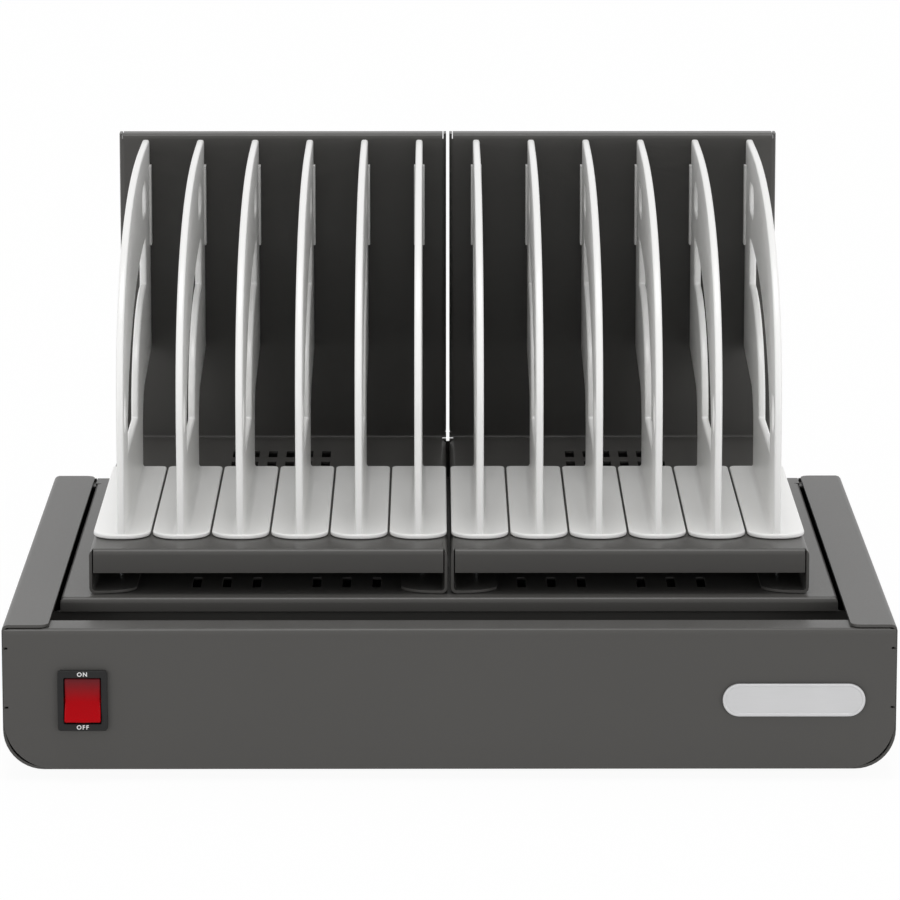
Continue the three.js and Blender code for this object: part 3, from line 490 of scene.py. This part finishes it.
def copied(node, material):  # a node's solid as a piece of its own
    mesh = merged(nodes[node].data.copy())
    mesh.name = node + "_skin"
    return addPiece(node + "_skin", mesh, material)


def dressed(node, material, edge, body, slot, steps=2):  # a node's solid with rounded edges
    piece = copied(node, material)
    rounding = piece.modifiers.new("rounding", "BEVEL")
    rounding.width = edge
    rounding.segments = steps
    rounding.limit_method = "ANGLE"
    rounding.angle_limit = math.radians(meshing["fold"])
    rounding.use_clamp_overlap = False
    return settle(baked(evened(piece)), body, slot, node)


def rounded(corners, steps=8):  # corners are (u, v) or (u, v, radius)
    points = []
    for i, (u, v, *radius) in enumerate(corners):
        here = Vector((u, v))
        if not radius:
            points.append(here)
            continue
        back = (Vector(corners[i - 1][:2]) - here).normalized()
        ahead = (Vector(corners[(i + 1) % len(corners)][:2]) - here).normalized()
        half = back.angle(ahead) / 2
        middle = here + (back + ahead).normalized() * radius[0] / math.sin(half)
        first, last = (here + way * radius[0] / math.tan(half) - middle for way in (back, ahead))
        start = math.atan2(first.y, first.x)
        sweep = (math.atan2(last.y, last.x) - start + math.pi) % (2 * math.pi) - math.pi
        for k in range(steps + 1):
            angle = start + sweep * k / steps
            points.append(middle + radius[0] * Vector((math.cos(angle), math.sin(angle))))
    return points


def ring(radius, count=48):
    angles = [2 * math.pi * i / count for i in range(count)]
    return [(radius * math.cos(angle), radius * math.sin(angle)) for angle in angles]


def turnsLeft(points):
    ahead = [*points[1:], points[0]]
    return sum(a[0] * b[1] - a[1] * b[0] for a, b in zip(points, ahead)) > 0


alongX = Matrix(((0, 0, 1, 0), (1, 0, 0, 0), (0, 1, 0, 0), (0, 0, 0, 1)))


# A plate with holes and rounded edges, in millimetres
def slab(outline, thick, edge, holes=(), turn=alongX, place=(0, 0, 0)):
    data = bpy.data.curves.new("slab", "CURVE")
    data.dimensions = "2D"
    data.fill_mode = "BOTH"
    data.extrude = (thick / 2 - edge) * mm
    data.bevel_depth = edge * mm
    data.bevel_resolution = meshing["slabSteps"]
    data.offset = -edge * mm
    for k, loop in enumerate((outline, *holes)):
        loop = loop if turnsLeft(loop) == (k == 0) else loop[::-1]
        spline = data.splines.new("POLY")
        spline.points.add(len(loop) - 1)
        for point, (u, v) in zip(spline.points, loop):
            point.co = (u * mm, v * mm, 0, 1)
        spline.use_cyclic_u = True
    holder = bpy.data.objects.new("slab", data)
    mesh = merged(bpy.data.meshes.new_from_object(holder), turnOut=True)
    bpy.data.objects.remove(holder)
    mesh.transform(Matrix.Translation(Vector(place) * mm) @ turn)
    return mesh


def lofted(rings):  # a closed skin through rings of as many points, in millimetres
    shape = bmesh.new()
    loops = [[shape.verts.new(Vector(point) * mm) for point in points] for points in rings]
    for low, high in zip(loops, loops[1:]):
        for i in range(len(low)):
            shape.faces.new((low[i - 1], low[i], high[i], high[i - 1]))
    shape.faces.new(loops[0])
    shape.faces.new(loops[-1])
    bmesh.ops.recalc_face_normals(shape, faces=shape.faces)
    mesh = bpy.data.meshes.new("lofted")
    shape.to_mesh(mesh)
    shape.free()
    return mesh


def united(name, meshes, material):
    whole, *others = [addPiece(name, mesh, material) for mesh in meshes]
    for other in others:
        union = whole.modifiers.new("union", "BOOLEAN")
        union.operation = "UNION"
        union.solver = "EXACT"
        union.object = other
    baked(whole)
    for other in others:
        bpy.data.objects.remove(other)
    merged(whole.data, turnOut=True)
    return whole


def centred(count, pitch):  # offsets of a row about its middle
    return [(i - (count - 1) / 2) * pitch for i in range(count)]


def middleOf(node):
    low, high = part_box(node)
    return (low + high) / 2


# Geometry Nodes for what repeats: one shape on many places, with named sizes

class Pattern(Tree):
    def __init__(self, name, sizes):
        self.sizes = sizes
        self.nodeTree = bpy.data.node_groups.new(name, "GeometryNodeTree")
        face = self.nodeTree.interface
        face.new_socket("Places", in_out="INPUT", socket_type="NodeSocketGeometry")
        for key in sizes:
            face.new_socket(key, in_out="INPUT", socket_type="NodeSocketFloat")
        face.new_socket("Piece", in_out="OUTPUT", socket_type="NodeSocketGeometry")

    def size(self, key):
        return self.add("NodeGroupInput", out=key)

    def vector(self, x, y, z):
        return self.add("ShaderNodeCombineXYZ", sockets={0: x, 1: y, 2: z})

    def moved(self, shape, x=0, y=0, z=0):
        place = self.vector(x, y, z)
        return self.add("GeometryNodeTransform", sockets={"Geometry": shape, "Translation": place})

    def brick(self, x, y, z):
        return self.add("GeometryNodeMeshCube", sockets={"Size": self.vector(x, y, z)})

    def drum(self, low, high, depth, sides=24):  # stands on z = 0
        sockets = {"Vertices": sides, "Radius Bottom": low, "Radius Top": high, "Depth": depth}
        return self.add("GeometryNodeMeshCone", sockets=sockets)

    def union(self, *shapes):
        return self.add("GeometryNodeMeshBoolean", {"operation": "UNION"}, {1: list(shapes)})

    def without(self, shape, *tools):
        sockets = {0: shape, 1: list(tools)}
        return self.add("GeometryNodeMeshBoolean", {"operation": "DIFFERENCE"}, sockets)

    def spread(self, name, shape, places, material, turn=(0, 0, 0)):
        sockets = {"Points": self.size("Places"), "Instance": shape, "Rotation": turn}
        copies = self.add("GeometryNodeInstanceOnPoints", sockets=sockets)
        real = self.add("GeometryNodeRealizeInstances", sockets={0: copies})
        done = self.add("GeometryNodeSetMaterial", sockets={"Geometry": real, "Material": material})
        self.add("NodeGroupOutput", sockets={0: done})
        mesh = bpy.data.meshes.new(name)
        mesh.from_pydata([tuple(place) for place in places], [], [])
        piece = addPiece(name, mesh, material)
        modifier = piece.modifiers.new("pattern", "NODES")
        modifier.node_group = self.nodeTree
        for socket in self.nodeTree.interface.items_tree:
            if socket.name in self.sizes:
                modifier[socket.identifier] = self.sizes[socket.name]
        return baked(evened(baked(piece), meshing["patternCrease"]))


# Folded sheets

sheetEdge = 0.2 * mm
for node in ("base_shell", "front_panel", "rear_panel", "deck_rail"):
    dressed(node, coat, sheetEdge, "base", "painted_steel")
for node in ("deck_plate", "rack_left", "rack_right"):
    dressed(node, coat, sheetEdge, "deck", "painted_steel")
print("sheets dressed")


# Dividers: y from the front of the shoe, z from the rack's floor, in millimetres

divider = {
    "count": 12,
    "pegReach": 4.2,  # below the rack's floor
    "thick": 3.8,
    "edge": 1.25,
    "setback": 1,  # shoe's front to the fin's front
    "hookReach": 4.1,  # fin's rear to the hook's rear
    "flatTop": 29,
    "rise": 115.5,
    "power": 2.5,
    "curveSteps": 40,
    "topCorner": 4,
    "underside": 52.4,
    "fall": 11,
    "passageCorner": 24,
    "windowBack": 46.7,  # from the fin's rear
    "windowSill": 38.4,
    "windowOuter": (195.8, 84),
    "windowInner": (96.8, 58),
    "windowCorner": 1.5,
    "windowSteps": 24,
    "oval": (59.2, 26.5, 40, 17),  # from the fin's rear and top, then length and height
    "ovalSteps": 16,
    "eye": (16.5, 63.4, 9.5),  # from the fin's front and the floor, then radius
    "shoeLift": 0.3,
    "shoeLength": 183.8,
    "shoeThick": 2.5,
    "shoeEdge": 0.9,
    "nose": 13,
    "heel": 3,
    "shoeSteps": 12,
    "filletFront": ((2, 0.3), (6, 2), (12, 3.2)),  # from the shoe's front, and radius
    "filletRear": ((6, 3.2), (1, 0.3)),  # from the shoe's rear, and radius
    "filletSteps": 6,
    "sink": 0.03,  # of the fillets into fin and shoe
    "root": 0.6,  # of the fillets under the shoe's top
    "pad": (8, 45, 14.5, 6.0, 0.25),  # depth, height, drop from the fin's top, thickness, edge
    "hook": (8, 4, 2, 3, 0.3),  # height, drop, thickness, width, edge
    "peg": (40, 8, 3, 0.8, 2.4, 0.3),  # inset, length, width, barb, height of the barb, edge
}


def quarter(steps):  # angles of a quarter turn
    return [i / steps * math.pi / 2 for i in range(steps + 1)]


def finLoops(d, rear, top):
    front = d["setback"]
    run = rear - d["flatTop"] - front
    curve = []
    for angle in quarter(d["curveSteps"]):
        across, up = (wave(angle) ** (2 / d["power"]) for wave in (math.cos, math.sin))
        curve.append((front + run * (1 - across), top - d["rise"] * (1 - up)))
    low = d["shoeLift"] + d["shoeThick"] / 2
    heel = d["shoeLength"]
    outline = rounded([
        (front, low), *curve, (rear, top, d["topCorner"]), (rear, d["underside"], d["topCorner"]),
        (heel, d["underside"] - d["fall"], d["passageCorner"]), (heel, low),
    ])
    middle = (rear - d["windowBack"], d["windowSill"])
    angles = quarter(d["windowSteps"])
    window = []
    for reach, order in ((d["windowOuter"], angles), (d["windowInner"], angles[::-1])):
        arc = []
        for angle in order:
            y, z = middle[0] - reach[0] * math.cos(angle), middle[1] + reach[1] * math.sin(angle)
            arc.append((y, z))
        for end in (0, -1):
            arc[end] = (*arc[end], d["windowCorner"])
        window += arc
    back, drop, long, tall = d["oval"]
    y, z = rear - back, top - drop
    radius = tall / 2 - 0.01  # a hair less than half, so that its ends are arcs of their own
    oval = rounded([(y + a * long / 2, z + b * tall / 2, radius)
                    for a, b in ((-1, -1), (1, -1), (1, 1), (-1, 1))], d["ovalSteps"])
    y, z, radius = d["eye"]
    eye = [(front + y + u, z + v) for u, v in ring(radius)]
    return outline, [rounded(window), oval, eye]


def filletRing(d, y, radius):  # hollow corners between fin and shoe, sunk a little into both
    half = d["thick"] / 2 - d["sink"]
    top = d["shoeLift"] + d["shoeThick"] - d["sink"]
    side = []
    for k in range(d["filletSteps"] + 1):
        angle = math.radians(270 - 90 * k / d["filletSteps"])
        side.append((half + radius * (1 + math.cos(angle)), top + radius * (1 + math.sin(angle))))
    low = [(half + radius, top - d["root"]), *side]
    return [(x, y, z) for x, z in low] + [(-x, y, z) for x, z in low[::-1]]


def dividerMesh(d, width, length, height):
    rear = length - d["hookReach"]
    top = height - d["pegReach"]
    outline, holes = finLoops(d, rear, top)
    half = width / 2
    heel = d["shoeLength"]
    shoe = rounded([
        (-half, 0, d["nose"]), (half, 0, d["nose"]),
        (half, heel, d["heel"]), (-half, heel, d["heel"]),
    ], d["shoeSteps"])
    shoeMiddle = d["shoeLift"] + d["shoeThick"] / 2
    stations = [*d["filletFront"], *((heel - back, radius) for back, radius in d["filletRear"])]
    deep, tall, drop, padThick, padEdge = d["pad"]
    padTop = top - drop
    pad = [
        (rear - deep, padTop - tall), (rear, padTop - tall), (rear, padTop), (rear - deep, padTop),
    ]
    hookTall, hookDrop, hookThick, hookWidth, hookEdge = d["hook"]
    low = padTop - tall / 2
    hook = [
        (rear - deep / 2, low), (length - hookThick, low), (length - hookThick, low - hookDrop),
        (length, low - hookDrop), (length, low + hookTall), (rear - deep / 2, low + hookTall),
    ]
    inset, pegLong, pegWidth, barb, barbTall, pegEdge = d["peg"]
    tip = -d["pegReach"]
    under = tip + barbTall
    a = pegLong / 2
    peg = [
        (-a, shoeMiddle), (-a, under), (-a - barb, under), (-a + barb, tip),
        (a - barb, tip), (a + barb, under), (a, under), (a, shoeMiddle),
    ]
    parts = [
        slab(outline, d["thick"], d["edge"], holes),
        slab(shoe, d["shoeThick"], d["shoeEdge"], turn=Matrix(), place=(0, 0, shoeMiddle)),
        lofted([filletRing(d, y, radius) for y, radius in stations]),
        slab(pad, padThick, padEdge),
        slab(hook, hookWidth, hookEdge),
        slab(peg, pegWidth, pegEdge, place=(0, inset, 0)),
        slab(peg, pegWidth, pegEdge, place=(0, heel - inset, 0)),
    ]
    proto = united("divider", parts, white)
    mesh = baked(evened(proto, meshing["mouldedCrease"])).data
    bpy.data.objects.remove(proto)
    return mesh


def makeDividers(d):
    low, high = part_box("divider_01")
    sizes = (high - low) / mm
    mesh = dividerMesh(d, sizes.x, sizes.y, sizes.z)
    for i in range(1, d["count"] + 1):
        node = f"divider_{i:02}"
        low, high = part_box(node)
        copy = mesh.copy()
        place = ((low.x + high.x) / 2, low.y, low.z + d["pegReach"] * mm)
        copy.transform(Matrix.Translation(place))
        settle(addPiece(node + "_skin", copy, white), "deck", "white_plastic", node)


makeDividers(divider)
print("dividers moulded")


# Power switch: its bezel, rocker, terminals and two plain words

switch = {
    "bezelEdge": 0.5 * mm,
    "rockerEdge": 0.85 * mm,
    "rockerSteps": 4,
    "terminalEdge": 0.15 * mm,
    "wordSize": 3.0 * mm,
    "wordSpacing": 1.28,
    "wordStroke": 0.07 * mm,
    "wordRaise": 0.03 * mm,
    "wordInset": 1.85 * mm,  # bezel's edge to the middle of a word
}


def makeWord(name, text, place):
    data = bpy.data.curves.new(name, "FONT")
    data.body = text
    data.size = switch["wordSize"]
    data.space_character = switch["wordSpacing"]
    data.offset = switch["wordStroke"]
    data.extrude = switch["wordRaise"]
    data.align_x = "CENTER"
    data.align_y = "CENTER"
    holder = bpy.data.objects.new(name, data)
    mesh = bpy.data.meshes.new_from_object(holder)
    bpy.data.objects.remove(holder)
    mesh.transform(Matrix.Translation(place) @ Matrix.Rotation(math.pi / 2, 4, "X"))
    settle(addPiece(name, mesh, ink), "base", "white_plastic")


dressed("switch_housing", black, switch["bezelEdge"], "base", "black_plastic")
dressed("switch_rocker", red, switch["rockerEdge"], "rocker", "red_plastic", switch["rockerSteps"])
for node in ("switch_terminal_1", "switch_terminal_2"):
    dressed(node, brass, switch["terminalEdge"], "base", "brass")
bezelLow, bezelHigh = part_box("switch_housing")
wordX = (bezelLow.x + bezelHigh.x) / 2
makeWord("word_on", "ON", (wordX, bezelLow.y, bezelHigh.z - switch["wordInset"]))
makeWord("word_off", "OFF", (wordX, bezelLow.y, bezelLow.z + switch["wordInset"]))
print("switch made")


# Badge: a bare pill with a raised rim

badge = {
    "layers": (  # inset from the outline and depth behind the rim, millimetres
        (0.25, 1.8), (0, 1.55), (0, 0.5), (0.1, 0.22), (0.3, 0.06), (0.55, 0), (1.0, 0),
        (1.25, 0.06), (1.42, 0.22), (1.5, 0.42), (1.62, 0.5), (2.2, 0.5),
    ),
    "arcSteps": 20,
}


def makeBadge(b):
    low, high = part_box("badge_plate")
    middle = (low + high) / 2 / mm
    reach, tall = (high.x - low.x) / 2 / mm, (high.z - low.z) / 2 / mm
    rings = []
    for inset, depth in b["layers"]:
        points = []
        for sign in (1, -1):
            for k in range(b["arcSteps"] + 1):
                angle = math.pi * k / b["arcSteps"] - sign * math.pi / 2
                x = sign * (reach - tall) + (tall - inset) * math.cos(angle)
                z = (tall - inset) * math.sin(angle)
                points.append((middle.x + x, low.y / mm + depth, middle.z + z))
        rings.append(points)
    piece = addPiece("badge_plate_skin", lofted(rings), silver)
    settle(baked(evened(piece, meshing["turnedCrease"])), "base", "badge_grey", "badge_plate")


makeBadge(badge)
print("badge made")


# Feet, pins and hinges

foot = {
    "count": 4,
    "profile": (  # radius and height, millimetres
        (9.4, 0), (10.1, 0.12), (10.6, 0.45), (10.9, 0.95), (11, 1.6), (11, 4.2), (10.8, 4.6),
        (10.5, 4.7), (3, 4.7), (3, 6.8), (4.2, 6.8), (4.4, 7.0), (4.2, 7.9), (3.4, 8.6), (2.4, 8.8),
    ),
}
for i in range(1, foot["count"] + 1):
    node = f"rubber_foot_{i}"
    spot = middleOf(node) / mm
    rings = []
    for radius, z in foot["profile"]:
        rings.append([(spot.x + u, spot.y + v, z) for u, v in ring(radius)])
    piece = addPiece(node + "_skin", lofted(rings), rubber)
    settle(baked(evened(piece, meshing["turnedCrease"])), "base", "black_rubber", node)

hinge = {
    "width": 50,
    "leaf": 13,
    "thick": 1.5,
    "knuckle": 3.5,
    "curlSteps": 40,
    "pinEnd": ((0, 0.9), (0.25, 1.35), (0.6, 1.5)),  # from the pin's end, and radius
    "bore": 1.85,
    "roundSteps": 32,
    "gap": 0.4,
    "edge": 0.25,
    "rivet": {"Head": 2.6 * mm, "Crown": 1.3 * mm, "Skirt": 0.35 * mm, "Rise": 0.75 * mm},
    "rivetSpread": 17,
    "rivetRise": 8.6,
}


def leafMesh(h, sign, runs, axis):
    inner = h["thick"] - h["knuckle"]
    turn = math.acos(inner / h["knuckle"])
    curl = []
    for k in range(h["curlSteps"] + 1):
        angle = math.pi + (math.pi + turn) * k / h["curlSteps"]
        curl.append((h["knuckle"] * math.cos(angle), sign * h["knuckle"] * math.sin(angle)))
    end = sign * h["leaf"]
    knuckle = [(-h["knuckle"], end), *curl, (inner, end)]
    clear = sign * (h["knuckle"] + h["gap"])
    plate = [(-h["knuckle"], clear), (inner, clear), (inner, end), (-h["knuckle"], end)]
    bore = ring(h["bore"], h["roundSteps"])
    parts = [slab(plate, h["width"], h["edge"], place=axis)]
    for start, stop in runs:
        place = axis + Vector(((start + stop) / 2, 0, 0))
        parts.append(slab(knuckle, stop - start, h["edge"], [bore], place=place))
    return parts


def makeHinge(h, side):
    pin = "hinge_pin_" + side
    axis = middleOf(pin) / mm
    half, third = h["width"] / 2, h["width"] / 6
    outer = ((-half, -third), (third, half))
    inner = ((-third + h["gap"], third - h["gap"]),)
    for kind, sign, runs, body in (("fixed", -1, outer, "base"), ("moving", 1, inner, "deck")):
        node = f"hinge_{kind}_leaf_{side}"
        piece = united(node + "_skin", leafMesh(h, sign, runs, axis), zinc)
        settle(baked(evened(piece, meshing["mouldedCrease"])), body, "plain_steel", node)
    rings = []
    for inset, radius in h["pinEnd"]:
        x = axis.x + (inset - half)
        rings.append([(x, axis.y + u, axis.z + v) for u, v in ring(radius, h["roundSteps"])])
    rings += [[(2 * axis.x - x, y, z) for x, y, z in points] for points in rings[::-1]]
    piece = addPiece(pin + "_skin", lofted(rings), zinc)
    settle(baked(evened(piece, meshing["turnedCrease"])), "base", "plain_steel", pin)


def makeRivets(h):
    for body, sign in (("base", -1), ("deck", 1)):
        places = []
        for side in ("left", "right"):
            axis = middleOf("hinge_pin_" + side)
            for x in (-h["rivetSpread"], h["rivetSpread"]):
                offset = Vector((x, h["thick"] - h["knuckle"], sign * h["rivetRise"])) * mm
                places.append(axis + offset)
        name = "hinge_rivets_" + body
        tree = Pattern(name, h["rivet"])
        skirt = tree.drum(tree.size("Head"), tree.size("Head"), tree.size("Skirt"))
        dome = tree.drum(tree.size("Head"), tree.size("Crown"), tree.size("Rise"))
        shape = tree.union(skirt, tree.moved(dome, z=tree.size("Skirt")))
        settle(tree.spread(name, shape, places, zinc, (-math.pi / 2, 0, 0)), body, "plain_steel")


for side in ("left", "right"):
    makeHinge(hinge, side)
makeRivets(hinge)
print("feet and hinges made")


# Screws with a cross recess

rackScrew = {
    "Head": 3.8 * mm, "Crown": 2.7 * mm, "Skirt": 1.1 * mm, "Rise": 1.1 * mm,
    "Shank": 1.8 * mm, "Length": 5.6 * mm, "Slot": 0.8 * mm, "Reach": 3.6 * mm, "Depth": 1.2 * mm,
}
inletScrew = {
    "Head": 2.8 * mm, "Crown": 2.0 * mm, "Skirt": 0.85 * mm, "Rise": 0.85 * mm,
    "Shank": 1.5 * mm, "Length": 8 * mm, "Slot": 0.6 * mm, "Reach": 2.6 * mm, "Depth": 0.9 * mm,
}


def makeScrews(name, sizes, places, turn, body, replaced):
    tree = Pattern(name, sizes)
    size = tree.size
    skirt = tree.drum(size("Head"), size("Head"), size("Skirt"))
    crown = tree.moved(tree.drum(size("Head"), size("Crown"), size("Rise")), z=size("Skirt"))
    shank = tree.drum(size("Shank"), size("Shank"), size("Length"))
    whole = tree.union(skirt, crown, tree.moved(shank, z=0 - size("Length")))
    top = size("Skirt") + size("Rise")
    bars = [tree.brick(size("Reach"), size("Slot"), 2 * size("Depth")),
            tree.brick(size("Slot"), size("Reach"), 2 * size("Depth"))]
    shape = tree.without(whole, *[tree.moved(bar, z=top) for bar in bars])
    settle(tree.spread(name, shape, places, zinc, turn), body, "plain_steel", *replaced)


rackNodes = [f"rack_screw_{i}" for i in range(1, 9)]
rackSeat = Vector((0, 0, rackScrew["Skirt"] + rackScrew["Rise"]))
rackPlaces = []
for node in rackNodes:
    low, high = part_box(node)
    rackPlaces.append(Vector(((low.x + high.x) / 2, (low.y + high.y) / 2, low.z)) + rackSeat)
makeScrews("rack_screws", rackScrew, rackPlaces, (math.pi, 0, 0), "deck", rackNodes)

inletNodes = ["inlet_screw_1", "inlet_screw_2"]
inletPlaces = []
for node in inletNodes:
    low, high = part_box(node)
    seat = high.y - inletScrew["Skirt"] - inletScrew["Rise"]
    inletPlaces.append(Vector(((low.x + high.x) / 2, seat, (low.z + high.z) / 2)))
makeScrews("inlet_screws", inletScrew, inletPlaces, (-math.pi / 2, 0, 0), "base", inletNodes)
print("screws made")


# Inlet, power supply, hubs and leads

inlet = {"edge": 0.4 * mm, "bladeEdge": 0.3 * mm, "blades": 3}
dressed("mains_inlet", black, inlet["edge"], "base", "black_plastic")
for i in range(1, inlet["blades"] + 1):
    dressed(f"inlet_blade_{i}", zinc, inlet["bladeEdge"], "base", "plain_steel")

supply = {
    "edge": 0.8 * mm,
    "louvre": {"Length": 24 * mm, "Width": 2.6 * mm, "Height": 1.0 * mm},
    "columns": 20,
    "pitch": 9 * mm,
    "rows": (-14 * mm, 14 * mm),
}


def makeSupply(s):
    dressed("power_supply", aluminium, s["edge"], "base", "supply_case")
    low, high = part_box("power_supply")
    middle = (low + high) / 2
    places = []
    for row in s["rows"]:
        for x in centred(s["columns"], s["pitch"]):
            places.append((middle.x + x, middle.y + row, high.z))
    tree = Pattern("supply_louvres", s["louvre"])
    ball = tree.add("GeometryNodeMeshUVSphere", sockets={"Segments": 12, "Rings": 8, "Radius": 1})
    scale = tree.vector(tree.size("Width") * 0.5, tree.size("Length") * 0.5, tree.size("Height"))
    louvre = tree.add("GeometryNodeTransform", sockets={"Geometry": ball, "Scale": scale})
    piece = tree.spread("supply_louvres", louvre, places, aluminium)
    settle(piece, "base", "supply_case")


hub = {
    "edge": 0.35 * mm,
    "ports": 5,
    "pitch": 20 * mm,
    "shell": {"Width": 12.9 * mm, "Height": 5.5 * mm, "Depth": 9.4 * mm, "Wall": 0.35 * mm},
    "contact": {"Width": 1.2 * mm, "Length": 6.4 * mm, "Height": 0.16 * mm},
    "shellInset": 0.2 * mm,
    "contacts": 4,
    "contactPitch": 2.4 * mm,
    "tongueFront": 2.4 * mm,
    "tongueTop": 0.9 * mm,
}


def makeHubs(h):
    ports = []
    for side in ("left", "right"):
        node = "usb_hub_" + side
        dressed(node, black, h["edge"], "base", "black_plastic")
        low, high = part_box(node)
        middle = (low + high) / 2
        for x in centred(h["ports"], h["pitch"]):
            ports.append(Vector((middle.x + x, low.y, middle.z)))
    tree = Pattern("hub_shells", h["shell"])
    size = tree.size
    outer = tree.brick(size("Width"), size("Depth"), size("Height"))
    walls = 2 * size("Wall")
    inner = tree.brick(size("Width") - walls, 2 * size("Depth"), size("Height") - walls)
    shell = tree.moved(tree.without(outer, inner), y=size("Depth") * 0.5 + h["shellInset"])
    settle(tree.spread("hub_shells", shell, ports, zinc), "base", "plain_steel")
    contacts = []
    for port in ports:
        for x in centred(h["contacts"], h["contactPitch"]):
            contacts.append(port + Vector((x, h["tongueFront"], h["tongueTop"])))
    tree = Pattern("hub_contacts", h["contact"])
    strip = tree.brick(tree.size("Width"), tree.size("Length"), tree.size("Height"))
    strip = tree.moved(strip, y=tree.size("Length") * 0.5)
    settle(tree.spread("hub_contacts", strip, contacts, brass), "base", "brass")


leadRounding = 2  # levels of subdivision


def makeLead(node, material, slot):
    piece = copied(node, material)
    shape = bmesh.new()
    shape.from_mesh(piece.data)
    crease = shape.edges.layers.float.new("crease_edge")
    for face in shape.faces:
        if len(face.verts) > 4:  # the two ends stay flat
            for edge in face.edges:
                edge[crease] = 1
    shape.to_mesh(piece.data)
    shape.free()
    rounding = piece.modifiers.new("rounding", "SUBSURF")
    rounding.levels = leadRounding
    rounding.render_levels = leadRounding
    baked(piece)
    settle(baked(evened(piece, meshing["turnedCrease"])), "base", slot, node)


makeSupply(supply)
makeHubs(hub)
for node, material, slot in (
    ("line_lead", brownSleeve, "brown_lead"), ("neutral_lead", blueSleeve, "blue_lead"),
    ("switched_lead", blackSleeve, "black_lead"), ("hub_lead_left", blackSleeve, "black_lead"),
    ("hub_lead_right", blackSleeve, "black_lead"),
):
    makeLead(node, material, slot)
print("electrics made")


# Stage

stageSetup = {
    "floor": 30,
    "floorShade": 0.95,
    "glow": 0.95,  # share of plain white that the camera sees in the floor
    "fill": 0.61,  # light from all round
    "sky": 1.12,
    "skySpread": 14,  # degrees
    "aim": (0, 0, 0.1),
    "boxSize": 1.0,
    "boxes": {  # place and power
        "leftBox": ((-1.6, -2.1, 0.3), 12.0),
        "rightBox": ((1.6, -2.1, 0.3), 12.8),
    },
}


def shownRays(finish):  # 1 for what the camera, a gloss or a clear piece shows
    names = ("Is Camera Ray", "Is Glossy Ray", "Is Transmission Ray")
    first, second, third = [finish.add("ShaderNodeLightPath", out=name) for name in names]
    either = finish.add("ShaderNodeMath", {"operation": "MAXIMUM"}, {0: first, 1: second})
    return finish.add("ShaderNodeMath", {"operation": "MAXIMUM"}, {0: either, 1: third})


def paleFloor(setup):
    mesh = bpy.data.meshes.new("floor")
    half = setup["floor"] / 2
    corners = [(-half, -half, 0), (half, -half, 0), (half, half, 0), (-half, half, 0)]
    mesh.from_pydata(corners, [], [(0, 1, 2, 3)])
    finish = Finish("paleFloor")
    seen = shownRays(finish)
    matt = finish.add("ShaderNodeBsdfDiffuse", sockets={"Color": shade(setup["floorShade"])})
    plain = finish.add("ShaderNodeEmission", sockets={"Color": shade(1), "Strength": 1})
    both = finish.add("ShaderNodeMixShader", sockets={0: seen * setup["glow"], 1: matt, 2: plain})
    finish.add("ShaderNodeOutputMaterial", sockets={"Surface": both})
    addPiece("floor", mesh, finish.owner)


def whiteRoom(setup):
    world = bpy.data.worlds.new("room")
    bpy.context.scene.world = world
    finish = Finish("room", world)
    strength = setup["fill"] + shownRays(finish) * (1 - setup["fill"])
    light = finish.add("ShaderNodeBackground", sockets={"Color": shade(1), "Strength": strength})
    finish.add("ShaderNodeOutputWorld", sockets={"Surface": light})


def softBox(setup, name):
    place, power = setup["boxes"][name]
    data = bpy.data.lights.new(name, "AREA")
    data.shape = "RECTANGLE"
    data.size = setup["boxSize"]
    data.size_y = setup["boxSize"]
    data.energy = power
    lamp = bpy.data.objects.new(name, data)
    lamp.location = place
    lamp.rotation_euler = (Vector(setup["aim"]) - Vector(place)).to_track_quat("-Z", "Y").to_euler()
    bpy.context.collection.objects.link(lamp)


def skyLight(setup):  # straight down, to the foot of each bay
    data = bpy.data.lights.new("skyLight", "SUN")
    data.energy = setup["sky"]
    data.angle = math.radians(setup["skySpread"])
    bpy.context.collection.objects.link(bpy.data.objects.new("skyLight", data))


paleFloor(stageSetup)
whiteRoom(stageSetup)
skyLight(stageSetup)
for name in stageSetup["boxes"]:
    softBox(stageSetup, name)
bpy.context.scene.view_settings.view_transform = "Standard"
print("stage lit")
